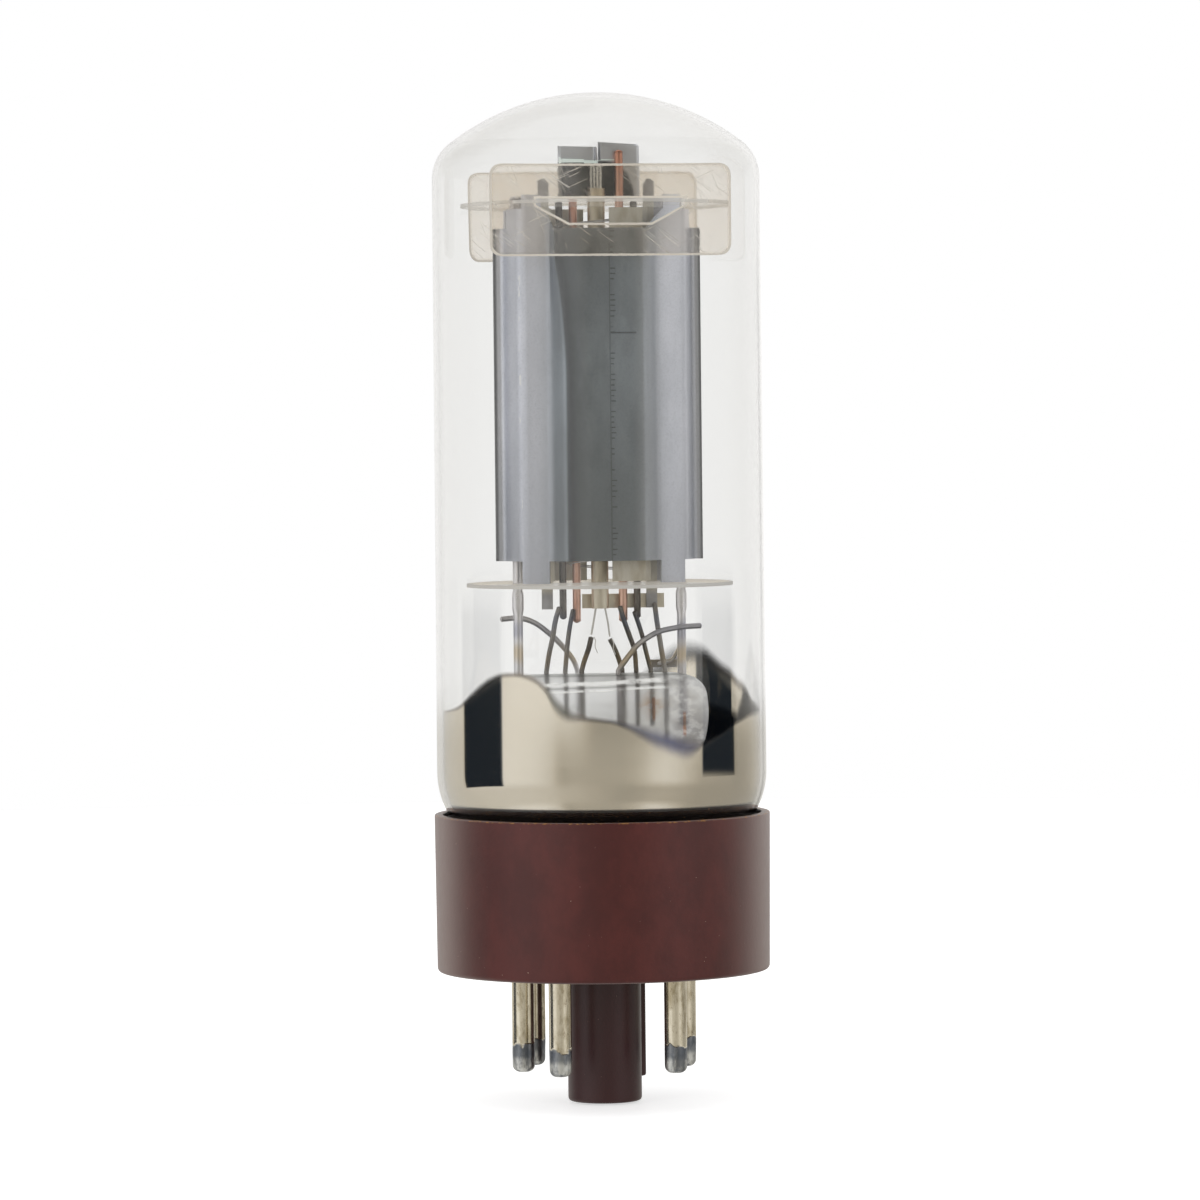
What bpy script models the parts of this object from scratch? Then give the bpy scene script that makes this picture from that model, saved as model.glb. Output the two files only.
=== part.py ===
"""A beam power tube on an eight-position octal base, standing on the tip of its key post.

Z runs up the tube's axis from the tip of the key post. X runs along the wide side of the
electrodes and Y through their depth. Sizes are in metres, given as millimetres times MM.
"""

import math

import bmesh
import bpy
from mathutils import Matrix, Vector

MM = 0.001

# Facets round the turned pieces and the holes
BASE_FACETS = 36
BULB_FACETS = 32
PIN_FACETS = 12
TUBE_FACETS = 14
HOLE_FACETS = 12
PRESS_FACETS = 28
MICA_FACETS = 40

# Clearances between neighbouring pieces
FIT = 0.15 * MM
SEAT = 0.3 * MM

# Moulded base with its hollow key post
POST_LENGTH = 13.8 * MM
POST_RADIUS = 3.875 * MM
POST_BORE = 2.75 * MM
POST_TIP = 3.0 * MM
POST_EDGE = 0.3 * MM
KEY_REACH = 1.05 * MM
KEY_WIDTH = 1.9 * MM
KEY_DROP = 2.3 * MM
KEY_ANGLE = 27.0
BASE_HEIGHT = 16.5 * MM
BASE_LIP = 0.32 * MM
BASE_TAPER = 0.15 * MM
BASE_WALL = 0.9 * MM
BASE_FLOOR = 2.0 * MM
BASE_EDGE = 0.45 * MM
RIM_EDGE = 0.15 * MM

# Contact pins, numbered from the key
PIN_CIRCLE = 8.725 * MM
PIN_RADIUS = 1.18 * MM
PIN_WALL = 0.35 * MM
PIN_LENGTH = 10.5 * MM
PIN_SOLDER = 2.6 * MM
PIN_FLANGE = 0.45 * MM
PIN_FLANGE_HEIGHT = 0.5 * MM
PIN_STEP = 45.0
PIN_NUMBERS = (2, 3, 4, 5, 7, 8)

# Glass bulb and the cement that holds it in the base
BULB_RADIUS = 17.28 * MM
BULB_TAPER = 0.13 * MM
GLASS = 0.95 * MM
DOME_RADIUS = 25.1 * MM
SHOULDER_RADIUS = 4.7 * MM
TURN_RADIUS = 9.0 * MM
SEAL_ANGLE = 60.0
HEADROOM = 5.1 * MM
CEMENT = 0.55 * MM
CEMENT_DROP = 0.45 * MM
CEMENT_HEIGHT = 2.4 * MM

# Glass stem with its flat press, and the exhaust tube below it
STEM_HEIGHT = 18.0 * MM
PRESS_HALF_WIDTH = 11.0 * MM
PRESS_HALF_DEPTH = 2.3 * MM
PRESS_HEIGHT = 8.4 * MM
STEM_TUBE = 7.6 * MM
STEM_WALL = 0.95 * MM
BLIND_DEPTH = 6.0 * MM
FLARE_RISE = 0.22
FLARE_WAIST = 0.82
TUBE_RISE = 0.58
SHOULDER_RISE = 0.83
NECK_RISE = 0.35
EXHAUST_RADIUS = 1.3 * MM
EXHAUST_WALL = 0.45 * MM
EXHAUST_TIP_GAP = 2.6 * MM

# Electrode cage between its two micas
STEM_TO_MICA = 9.2 * MM
CAGE_HEIGHT = 39.3 * MM
MICA = 0.35 * MM
TOP_MICA_GAP = 2.0 * MM
BOTTOM_MICA_GAP = 2.2 * MM
SHEET = 0.2 * MM
TAB_THROUGH = 0.8 * MM

# Anode, a folded front half and the same stamping turned round behind it
ANODE_HALF_WIDTH = 10.9 * MM
FLANGE_WIDTH = 1.0 * MM
FLANGE_GAP = 0.25 * MM
WING_SHARE = 0.7982
WING_RUN = 3.1 * MM
WING_DEPTH = 3.0 * MM
WALL_RUN = 1.3 * MM
WALL_DEPTH = 4.2 * MM
FACE_DEPTH = 6.15 * MM
RIDGE_X = 0.3 * MM
RIDGE_DEPTH = 6.6 * MM
ANODE_FOOT = 2.35 * MM
TAB_INSET = 0.2 * MM
TAB_WIDTH = 2.65 * MM
TOP_TAB_INSET = 0.4 * MM
TOP_TAB_WIDTH = 1.9 * MM
NOTCH_WIDTH = 1.35 * MM
NOTCH_HEIGHT = 2.4 * MM
CUT_RUN = 2.0 * MM
CUT_DEPTH = 2.1 * MM

# Rods, grids, cathode and beam plates; a share is of the anode's half width, out from the axis
SUPPORT_SHARE = 0.7936
SUPPORT_RADIUS = 0.48 * MM
CONTROL_SHARE = 0.2248
CONTROL_RADIUS = 0.44 * MM
CONTROL_DEPTH = 1.45 * MM
CONTROL_TURNS = 20
SCREEN_SHARE = 0.3624
SCREEN_RADIUS = 0.38 * MM
SCREEN_DEPTH = 2.5 * MM
SCREEN_TURNS = 15
GRID_WIRE = 0.06 * MM
CORNERS_PER_TURN = 12
WINDING_MARGIN = 1.0 * MM
ROD_DROP = 3.9 * MM
CATHODE_HALF_WIDTH = 0.85 * MM
CATHODE_HALF_DEPTH = 0.6 * MM
CATHODE_RISE = 1.6 * MM
HEATER_RADIUS = 0.11 * MM
HEATER_PITCH = 0.33 * MM
HEATER_RISE = 4.0 * MM
HEATER_LEGS = 4
BEAM_SHARE = 0.4587
BEAM_FOLD = 0.6 * MM
BEAM_LEAF_DEPTH = 3.0 * MM
BEAM_LEAF_START = 0.9 * MM
BEAM_EAR_WIDTH = 1.25 * MM
BEAM_EAR_Y = 0.6 * MM
BEAM_EAR_RISE = 2.6 * MM
BEAM_COLLAR = 5.0 * MM

# Vertical mica spacers that wedge the cage in the bulb
SPACER_DEPTH = 9.7 * MM
SPACER_RISE = 3.75 * MM
SPACER_DROP = 5.4 * MM
SPACER_THICKNESS = 0.3 * MM
SPACER_CORNER = 1.2 * MM
SPACER_GAP = 0.35 * MM
WINDOW_HALF_WIDTH = 7.7 * MM
WINDOW_FOOT = 4.3 * MM
WINDOW_DROP = 2.0 * MM

# Radiators on the control grid rods
RADIATOR_INNER = 0.35 * MM
RADIATOR_LAP = 1.1 * MM
RADIATOR_FOLD = 0.6 * MM
RADIATOR_FRONT = 0.72 * MM
RADIATOR_MIDDLE = 0.95 * MM
RADIATOR_BACK = 2.4 * MM
RADIATOR_OUTER = 1.15 * MM
RADIATOR_GAP = 0.3 * MM
RADIATOR_HEIGHT = 4.2 * MM
RADIATOR_SLOPE = 1.2 * MM
RADIATOR_STEP = 0.5 * MM

# Straps and the getter
STRAP_HEIGHT = 1.5 * MM
STRAP_DROP = 0.9 * MM
STRAP_REACH = 2.0 * MM
GETTER_LENGTH = 2.6 * MM
GETTER_SIZE = 0.8 * MM
GETTER_DEPTH = 3.4 * MM
GETTER_WIRE = 0.2 * MM
LEAD_RADIUS = 0.26 * MM
LEAD_LAP = 0.5 * MM
HEATER_SPREAD = 1.0 * MM
ANODE_LEAD_RADIUS = 0.29 * MM
ANODE_LEAD_BEND = 0.7 * MM
NECK_RADIUS = 4.6 * MM

# Levels up the axis
underside = POST_LENGTH
rim = underside + BASE_HEIGHT
floor_top = underside + BASE_FLOOR
pin_tip = underside - PIN_LENGTH
base_radius = BULB_RADIUS + BASE_LIP
base_inner = base_radius - BASE_WALL
neck_at_cement = base_inner - CEMENT - 2.0 * FIT
cement_top = rim - CEMENT_DROP
cement_angle = math.acos(1.0 - (BULB_RADIUS - neck_at_cement) / TURN_RADIUS)
turn_level = cement_top + TURN_RADIUS * math.sin(cement_angle)
seal_level = turn_level - TURN_RADIUS * math.sin(math.radians(SEAL_ANGLE))
seal_radius = BULB_RADIUS - TURN_RADIUS * (1.0 - math.cos(math.radians(SEAL_ANGLE)))
press_top = seal_level + STEM_HEIGHT
press_bottom = press_top - PRESS_HEIGHT
low_mica = press_top + STEM_TO_MICA
cage_floor = low_mica + MICA
high_mica = cage_floor + CAGE_HEIGHT
cage_top = high_mica + MICA
anode_foot = cage_floor + ANODE_FOOT
anode_top = high_mica - SEAT
wing_outer = WING_SHARE * ANODE_HALF_WIDTH
wing_inner = wing_outer - WING_RUN
face_half_width = wing_inner - WALL_RUN
tab_outer = wing_outer - TAB_INSET
tab_inner = tab_outer - TAB_WIDTH
top_tab_outer = wing_outer - TOP_TAB_INSET
top_tab_inner = top_tab_outer - TOP_TAB_WIDTH
support_x = SUPPORT_SHARE * ANODE_HALF_WIDTH
control_x = CONTROL_SHARE * ANODE_HALF_WIDTH
screen_x = SCREEN_SHARE * ANODE_HALF_WIDTH
beam_x = BEAM_SHARE * ANODE_HALF_WIDTH
radiator_foot = cage_top + 2.0 * SEAT
radiator_front_top = radiator_foot + RADIATOR_HEIGHT
radiator_top = radiator_front_top + RADIATOR_SLOPE + RADIATOR_STEP
bulb_top = radiator_top + HEADROOM
bulb_inner = BULB_RADIUS - BULB_TAPER - GLASS

model = bpy.data.collections.new("vacuum_tube")
cutters = bpy.data.collections.new("cutters")


def clear_scene():
    """Remove whatever the file opened with, and link the two collections."""
    for old in list(bpy.data.objects):
        bpy.data.objects.remove(old, do_unlink=True)
    bpy.context.scene.collection.children.link(model)
    bpy.context.scene.collection.children.link(cutters)


def finish(name, colour, roughness, metallic=0.0, transmission=0.0):
    """A plain material with the part's colour."""
    material = bpy.data.materials.new(name)
    material.use_nodes = True
    shader = material.node_tree.nodes["Principled BSDF"]
    shader.inputs["Base Color"].default_value = (*colour, 1.0)
    shader.inputs["Roughness"].default_value = roughness
    shader.inputs["Metallic"].default_value = metallic
    shader.inputs["Transmission Weight"].default_value = transmission
    return material


def place(name, data, material=None):
    """Put a mesh or curve in the model as a named object."""
    piece = bpy.data.objects.new(name, data)
    if material is not None:
        data.materials.append(material.copy())
        data.materials[0].name = name
    model.objects.link(piece)
    return piece


def as_cutter(name, data):
    """Put a mesh in the cutters' collection, out of the render."""
    piece = bpy.data.objects.new(name, data)
    piece.hide_render = True
    piece.display_type = "WIRE"
    cutters.objects.link(piece)
    return piece


def combine(piece, other, operation):
    """Cut, join or intersect a piece with another object."""
    boolean = piece.modifiers.new(operation.title(), "BOOLEAN")
    boolean.operation = operation
    boolean.solver = "EXACT"
    boolean.object = other


def mesh_from(build):
    """A mesh from a function that fills a bmesh, with its faces turned outwards."""
    mesh = bpy.data.meshes.new("shape")
    work = bmesh.new()
    build(work)
    bmesh.ops.recalc_face_normals(work, faces=work.faces)
    work.to_mesh(mesh)
    work.free()
    return mesh


def turned(name, profile, steps, material, closed=False):
    """Turn a profile of (radius, height) points about Z."""
    mesh = bpy.data.meshes.new(name)
    points = [(radius, 0.0, height) for radius, height in profile]
    edges = [(index, index + 1) for index in range(len(points) - 1)]
    if closed:
        edges.append((len(points) - 1, 0))
    mesh.from_pydata(points, edges, [])
    piece = place(name, mesh, material)
    screw = piece.modifiers.new("Turn", "SCREW")
    screw.steps = steps
    screw.render_steps = steps
    screw.use_merge_vertices = True
    screw.merge_threshold = 0.00001
    screw.use_smooth_shade = True
    return piece


def arc(centre, radius, start, end, count):
    """Points on an arc, from one angle to another in degrees."""
    points = []
    for index in range(count + 1):
        angle = math.radians(start + (end - start) * index / count)
        points.append((centre[0] + radius * math.cos(angle), centre[1] + radius * math.sin(angle)))
    return points


def smooth_route(points, spacing):
    """Read a curve through the points at about equal steps."""
    knots = [Vector(point) for point in points]
    knots = [2.0 * knots[0] - knots[1]] + knots + [2.0 * knots[-1] - knots[-2]]
    route = []
    for index in range(1, len(knots) - 2):
        before, start, end, after = knots[index - 1:index + 3]
        steps = max(1, round((end - start).length / spacing))
        for step in range(steps):
            t = step / steps
            route.append(0.5 * (2.0 * start + (end - before) * t
                                + (2.0 * before - 5.0 * start + 4.0 * end - after) * t ** 2
                                + (3.0 * start - before - 3.0 * end + after) * t ** 3))
    route.append(knots[-2])
    return route


def wire(name, points, radius, material, rounding=1):
    """A round wire along a line of points, closed at both ends."""
    curve = bpy.data.curves.new(name, "CURVE")
    curve.dimensions = "3D"
    curve.bevel_depth = radius
    curve.bevel_resolution = rounding
    curve.use_fill_caps = True
    spline = curve.splines.new("POLY")
    spline.points.add(len(points) - 1)
    for spot, point in zip(spline.points, points):
        spot.co = (*point, 1.0)
    return place(name, curve, material)


def prism(outline, low, high, across="Y"):
    """A mesh of a flat outline, pushed from one level to another along an axis.

    The outline holds (x, z) points when it runs across Y, (y, z) across X and (x, y) across Z.
    """
    def build(work):
        spots = {"X": lambda a, b: (low, a, b), "Y": lambda a, b: (a, low, b),
                 "Z": lambda a, b: (a, b, low)}[across]
        shift = {"X": Vector((high - low, 0, 0)), "Y": Vector((0, high - low, 0)),
                 "Z": Vector((0, 0, high - low))}[across]
        face = work.faces.new([work.verts.new(spots(a, b)) for a, b in outline])
        sides = bmesh.ops.extrude_face_region(work, geom=[face])
        moved = [item for item in sides["geom"] if isinstance(item, bmesh.types.BMVert)]
        bmesh.ops.translate(work, verts=moved, vec=shift)
    return mesh_from(build)


def folded(name, section, low, high, material, closed=False, thickness=SHEET):
    """A folded sheet: a section of (x, y) points carried up Z and given its thickness."""
    def build(work):
        feet = [work.verts.new((x, y, low)) for x, y in section]
        heads = [work.verts.new((x, y, high)) for x, y in section]
        for index in range(len(section) - (0 if closed else 1)):
            after = (index + 1) % len(section)
            work.faces.new([feet[index], feet[after], heads[after], heads[index]])
    piece = place(name, mesh_from(build), material)
    wall = piece.modifiers.new("Thickness", "SOLIDIFY")
    wall.thickness = thickness
    wall.offset = 0.0
    wall.use_even_offset = True
    return piece


def half_turn(points):
    """The same points after half a turn about Z."""
    return [(-x, -y) for x, y in points]


def mirrored(points):
    """A right-hand outline, listed from the bottom middle to the top, closed by its mirror image."""
    return points + [(-x, z) for x, z in reversed(points)]


def pin_place(number, radius=PIN_CIRCLE):
    """Where a numbered pin stands, with position one just past the key."""
    angle = math.radians(KEY_ANGLE + PIN_STEP * (number - 0.5))
    return radius * math.cos(angle), radius * math.sin(angle)


def add_cylinder(work, x, y, radius, low, high, facets=HOLE_FACETS, stretch=1.0):
    """Add a closed cylinder along Z to a cutter, flattened in Y by the stretch."""
    middle = Matrix.Translation((x, y, 0.5 * (low + high)))
    bmesh.ops.create_cone(work, cap_ends=True, segments=facets, radius1=radius, radius2=radius,
                          depth=high - low, matrix=middle @ Matrix.Diagonal((1, stretch, 1, 1)))


def add_slot(work, start, end, width, low, high):
    """Add an upright slot cutter between two (x, y) points."""
    a, b = Vector(start), Vector(end)
    run = b - a
    middle = Matrix.Translation((*(0.5 * (a + b)), 0.5 * (low + high)))
    turn = Matrix.Rotation(math.atan2(run.y, run.x), 4, "Z")
    size = Matrix.Diagonal((run.length + 2.0 * FIT, width, high - low, 1.0))
    bmesh.ops.create_cube(work, size=1.0, matrix=middle @ turn @ size)


def make_base(material):
    """The base: shell, floor and hollow key post in one moulding, with the key and pin holes."""
    bottom_radius = base_radius - BASE_TAPER
    profile = [
        (0.0, POST_TIP),
        (POST_BORE, POST_TIP),
        (POST_BORE, floor_top),
        (base_inner, floor_top),
        (base_inner, rim),
        (base_radius - RIM_EDGE, rim),
        (base_radius, rim - RIM_EDGE),
        (bottom_radius, underside + BASE_EDGE),
        (bottom_radius - 0.3 * BASE_EDGE, underside + 0.3 * BASE_EDGE),
        (bottom_radius - BASE_EDGE, underside),
        (POST_RADIUS, underside),
        (POST_RADIUS, POST_EDGE),
        (POST_RADIUS - POST_EDGE, 0.0),
        (0.0, 0.0),
    ]
    base = turned("base", profile, BASE_FACETS, material)
    reach = POST_RADIUS + KEY_REACH
    nose = 0.3 * KEY_WIDTH
    half = 0.5 * KEY_WIDTH
    outline = [(0.8 * POST_RADIUS, -half), (reach - nose, -half), (reach, -half + nose),
               (reach, half - nose), (reach - nose, half), (0.8 * POST_RADIUS, half)]
    key = as_cutter("key_rib", prism(outline, KEY_DROP, underside + 0.5 * BASE_FLOOR, "Z"))
    key.rotation_euler.z = math.radians(KEY_ANGLE)
    combine(base, key, "UNION")

    def holes(work):
        for number in PIN_NUMBERS:
            add_cylinder(work, *pin_place(number), PIN_RADIUS + FIT, underside - SEAT,
                         floor_top + SEAT)
    combine(base, as_cutter("pin_holes", mesh_from(holes)), "DIFFERENCE")
    return base


def make_pin(number, material):
    """A hollow contact pin, flanged on the floor of the base and closed by solder at its tip."""
    bore = PIN_RADIUS - PIN_WALL
    flange = floor_top + FIT
    head = flange + PIN_FLANGE_HEIGHT
    profile = [
        (0.0, pin_tip + PIN_SOLDER),
        (bore, pin_tip + PIN_SOLDER),
        (bore, head),
        (PIN_RADIUS + PIN_FLANGE, head),
        (PIN_RADIUS + PIN_FLANGE, flange),
        (PIN_RADIUS, flange),
        (PIN_RADIUS, pin_tip + 0.5 * PIN_RADIUS),
        (0.88 * PIN_RADIUS, pin_tip + 0.18 * PIN_RADIUS),
        (0.6 * PIN_RADIUS, pin_tip),
        (0.0, pin_tip),
    ]
    pin = turned(f"pin_{number}", profile, PIN_FACETS, material)
    x, y = pin_place(number)
    pin.location = (x, y, 0.0)


def bulb_outline():
    """The outer profile of the bulb, from the top of the dome to the seal."""
    wall_radius = BULB_RADIUS - BULB_TAPER
    dome_centre = bulb_top - DOME_RADIUS
    reach = DOME_RADIUS - SHOULDER_RADIUS
    side = wall_radius - SHOULDER_RADIUS
    shoulder = dome_centre + math.sqrt(reach ** 2 - side ** 2)
    tangent = math.degrees(math.atan2(shoulder - dome_centre, side))
    dome = arc((0.0, dome_centre), DOME_RADIUS, 90.0, tangent, 5)
    corner = arc((side, shoulder), SHOULDER_RADIUS, tangent, 0.0, 5)
    turn = arc((BULB_RADIUS - TURN_RADIUS, turn_level), TURN_RADIUS, 0.0, -SEAL_ANGLE, 6)
    return [(0.0, bulb_top)] + dome[1:] + corner[1:] + turn


def shifted(profile, distance):
    """A profile moved to its inner side by the wall, square to its own run."""
    moved = []
    last = len(profile) - 1
    for index, (radius, height) in enumerate(profile):
        before = profile[max(index - 1, 0)]
        after = profile[min(index + 1, last)]
        run = Vector((after[0] - before[0], after[1] - before[1])).normalized()
        moved.append((radius + run.y * distance, height - run.x * distance))
    moved[0] = (0.0, profile[0][1] - distance)
    return moved


def make_bulb(material):
    """The blown bulb, open at the seal where the stem closes it."""
    outer = bulb_outline()
    inner = shifted(outer, GLASS)
    turned("glass_bulb", outer + inner[::-1], BULB_FACETS, material)


def make_cement(material):
    """The ring of basing cement between the base's wall and the turn of the bulb."""
    bottom = cement_top - CEMENT_HEIGHT
    low_angle = math.degrees(math.asin((turn_level - bottom) / TURN_RADIUS))
    centre = (BULB_RADIUS - TURN_RADIUS, turn_level)
    inner = arc(centre, TURN_RADIUS + FIT, -low_angle, -math.degrees(cement_angle), 3)
    outer = base_inner - FIT
    section = inner + [(outer, cement_top), (outer, inner[0][1])]
    turned("cement", section, BASE_FACETS, material, closed=True)


def ring_of(half_width, half_depth, height, squareness):
    """One closed section of the stem: a rounded outline between an ellipse and a rectangle."""
    ring = []
    for index in range(PRESS_FACETS):
        angle = 2.0 * math.pi * index / PRESS_FACETS
        c, s = math.cos(angle), math.sin(angle)
        power = 2.0 / squareness
        x = half_width * math.copysign(abs(c) ** power, c)
        y = half_depth * math.copysign(abs(s) ** power, s)
        ring.append((x, y, height))
    return ring


def make_stem(material, holes):
    """The flared stem: a tube whose top is pinched flat on the leads, with a hole for each."""
    wall = STEM_WALL
    flare = seal_radius - GLASS - 2.0 * FIT
    tube_height = press_bottom - seal_level
    low = seal_level + FLARE_RISE * tube_height
    tall = seal_level + TUBE_RISE * tube_height
    shoulder = seal_level + SHOULDER_RISE * tube_height
    waist = FLARE_WAIST * flare
    ceiling = press_bottom - wall
    rings = [
        ring_of(PRESS_HALF_WIDTH - 2.2 * wall, PRESS_HALF_DEPTH - 1.1 * wall, ceiling, 2.4),
        ring_of(STEM_TUBE + 0.1 * wall, STEM_TUBE - 2.6 * wall, shoulder - wall, 2.0),
        ring_of(STEM_TUBE - wall, STEM_TUBE - wall, tall, 2.0),
        ring_of(waist - wall, waist - wall, low, 2.0),
        ring_of(flare - wall, flare - wall, seal_level, 2.0),
        ring_of(flare, flare, seal_level, 2.0),
        ring_of(waist, waist, low, 2.0),
        ring_of(STEM_TUBE, STEM_TUBE, tall, 2.0),
        ring_of(STEM_TUBE + 1.4 * wall, STEM_TUBE - 1.2 * wall, shoulder, 2.0),
        ring_of(PRESS_HALF_WIDTH, PRESS_HALF_DEPTH + 0.5 * wall, press_bottom, 2.8),
        ring_of(PRESS_HALF_WIDTH, PRESS_HALF_DEPTH, press_top - 0.3 * PRESS_HEIGHT, 3.0),
        ring_of(0.99 * PRESS_HALF_WIDTH, 0.95 * PRESS_HALF_DEPTH, press_top - 0.06 * PRESS_HEIGHT, 3.0),
        ring_of(0.96 * PRESS_HALF_WIDTH, 0.7 * PRESS_HALF_DEPTH, press_top, 3.0),
    ]

    def build(work):
        loops = [[work.verts.new(point) for point in ring] for ring in rings]
        count = len(rings[0])
        for lower, upper in zip(loops, loops[1:]):
            for index in range(count):
                after = (index + 1) % count
                work.faces.new([lower[index], lower[after], upper[after], upper[index]])
        work.faces.new(loops[0])
        work.faces.new(loops[-1])
    stem = place("glass_stem", mesh_from(build), material)

    def drill(work):
        for x, y, radius, through in holes:
            low = ceiling - SEAT if through else press_top - BLIND_DEPTH
            add_cylinder(work, x, y, radius + FIT, low, press_top + SEAT)
    combine(stem, as_cutter("press_holes", mesh_from(drill)), "DIFFERENCE")
    return ceiling


def make_exhaust(ceiling, material):
    """The exhaust tube, melted shut inside the hollow key post."""
    tip = POST_TIP + EXHAUST_TIP_GAP
    bore = EXHAUST_RADIUS - EXHAUST_WALL
    top = ceiling - SEAT
    outer = arc((0.0, tip + 2.0 * EXHAUST_RADIUS), EXHAUST_RADIUS, 0.0, -90.0, 4)
    inner = arc((0.0, tip + 2.0 * EXHAUST_RADIUS), bore, -90.0, 0.0, 3)
    profile = inner + [(bore, top), (EXHAUST_RADIUS, top)] + outer
    profile[0] = (0.0, profile[0][1])
    profile[-1] = (0.0, profile[-1][1])
    turned("exhaust_tube", profile, TUBE_FACETS, material)


def anode_section():
    """The front half of the anode seen from above, from its left flange to its right."""
    side = ANODE_HALF_WIDTH - FLANGE_WIDTH
    right = [(face_half_width, -FACE_DEPTH), (wing_inner, -WALL_DEPTH),
             (wing_outer, -WING_DEPTH), (side, -FLANGE_GAP), (ANODE_HALF_WIDTH, -FLANGE_GAP)]
    left = [(-x, y) for x, y in reversed(right)]
    return left + [(RIDGE_X, -RIDGE_DEPTH)] + right


def anode_outline():
    """The anode's outline from the front: feet and tabs through the micas, notches, top cut."""
    foot = low_mica - TAB_THROUGH
    head = cage_top + TAB_THROUGH
    edge = ANODE_HALF_WIDTH + FLANGE_WIDTH
    return mirrored([
        (tab_inner, anode_foot), (tab_inner, foot), (tab_outer, foot), (tab_outer, anode_foot),
        (edge, anode_foot), (edge, anode_top - NOTCH_HEIGHT),
        (ANODE_HALF_WIDTH - NOTCH_WIDTH, anode_top - NOTCH_HEIGHT),
        (ANODE_HALF_WIDTH - NOTCH_WIDTH, anode_top), (top_tab_outer, anode_top),
        (top_tab_outer, head), (top_tab_inner, head), (top_tab_inner, anode_top),
        (top_tab_inner - CUT_RUN, anode_top - CUT_DEPTH),
    ])


def make_anode(material):
    """Both halves of the anode, cut to one outline."""
    reach = RIDGE_DEPTH + SHEET + SEAT
    outline = as_cutter("anode_outline", prism(anode_outline(), -reach, reach))
    low = low_mica - 2.0 * TAB_THROUGH
    high = cage_top + 2.0 * TAB_THROUGH
    section = anode_section()
    for name, points in (("anode_front", section), ("anode_rear", half_turn(section))):
        combine(folded(name, points, low, high, material), outline, "INTERSECT")


def tab_slot(work, inner, outer, low, high):
    """Add the four slots for the anode's tabs, which lie on the slope of its wings."""
    slope = (WING_DEPTH - WALL_DEPTH) / WING_RUN
    for side in (-1.0, 1.0):
        for depth in (-1.0, 1.0):
            ends = [(side * x, depth * (WALL_DEPTH + slope * (x - wing_inner)))
                    for x in (inner, outer)]
            add_slot(work, *ends, SHEET + 2.0 * FIT, low, high)


def make_micas(material):
    """The two mica discs, with holes for all that stands in them."""
    span = (low_mica - SEAT, cage_top + SEAT)

    def shared(work):
        for side in (-1.0, 1.0):
            add_cylinder(work, side * support_x, 0.0, SUPPORT_RADIUS + FIT, *span)
            add_cylinder(work, side * control_x, 0.0, CONTROL_RADIUS + FIT, *span)
            add_cylinder(work, side * screen_x, 0.0, SCREEN_RADIUS + FIT, *span)
            ear = (side * (beam_x + 0.5 * SHEET), side * BEAM_EAR_Y)
            tip = (side * (beam_x + BEAM_EAR_WIDTH), side * BEAM_EAR_Y)
            add_slot(work, ear, tip, SHEET + 2.0 * FIT, *span)
        middle = (CATHODE_HALF_DEPTH + FIT) / (CATHODE_HALF_WIDTH + FIT)
        reach = CATHODE_HALF_WIDTH + SHEET + FIT
        add_cylinder(work, 0.0, 0.0, reach, *span, TUBE_FACETS, middle)

    def low_slots(work):
        tab_slot(work, tab_inner, tab_outer, low_mica - SEAT, cage_floor + SEAT)

    def high_slots(work):
        tab_slot(work, top_tab_inner, top_tab_outer, high_mica - SEAT, cage_top + SEAT)
        reach = bulb_inner
        for side in (-1.0, 1.0):
            for depth in (-SPACER_DEPTH, SPACER_DEPTH):
                start = (side * (WINDOW_HALF_WIDTH - FIT), depth)
                add_slot(work, start, (side * reach, depth), SPACER_THICKNESS + 2.0 * FIT,
                         high_mica - SEAT, cage_top + SEAT)

    common = as_cutter("rod_holes", mesh_from(shared))
    for name, level, gap, slots in (("bottom_mica", low_mica, BOTTOM_MICA_GAP, low_slots),
                                    ("top_mica", high_mica, TOP_MICA_GAP, high_slots)):
        def disc(work):
            add_cylinder(work, 0.0, 0.0, bulb_inner - gap, level, level + MICA, MICA_FACETS)
        piece = place(name, mesh_from(disc), material)
        combine(piece, common, "DIFFERENCE")
        combine(piece, as_cutter(name + "_slots", mesh_from(slots)), "DIFFERENCE")


def make_spacers(material):
    """The upright mica plates, slotted on to the top mica, whose corners reach for the glass."""
    corner_reach = bulb_inner - SPACER_GAP
    half_width = math.sqrt(corner_reach ** 2 - (SPACER_DEPTH + 0.5 * SPACER_THICKNESS) ** 2)
    low = high_mica - SPACER_DROP
    high = cage_top + SPACER_RISE
    right = (arc((half_width - SPACER_CORNER, low + SPACER_CORNER), SPACER_CORNER, -90.0, 0.0, 4)
             + arc((half_width - SPACER_CORNER, high - SPACER_CORNER), SPACER_CORNER, 0.0, 90.0, 4))
    window = mirrored([(WINDOW_FOOT, high_mica - WINDOW_DROP), (WINDOW_HALF_WIDTH, high_mica - FIT),
                       (WINDOW_HALF_WIDTH, cage_top + FIT)])
    for name, depth in (("front_spacer", -SPACER_DEPTH), ("rear_spacer", SPACER_DEPTH)):
        near = depth - 0.5 * SPACER_THICKNESS
        far = depth + 0.5 * SPACER_THICKNESS
        plate = place(name, prism(mirrored(right), near, far), material)
        opening = as_cutter(name + "_window", prism(window, near - SEAT, far + SEAT))
        combine(plate, opening, "DIFFERENCE")


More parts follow.
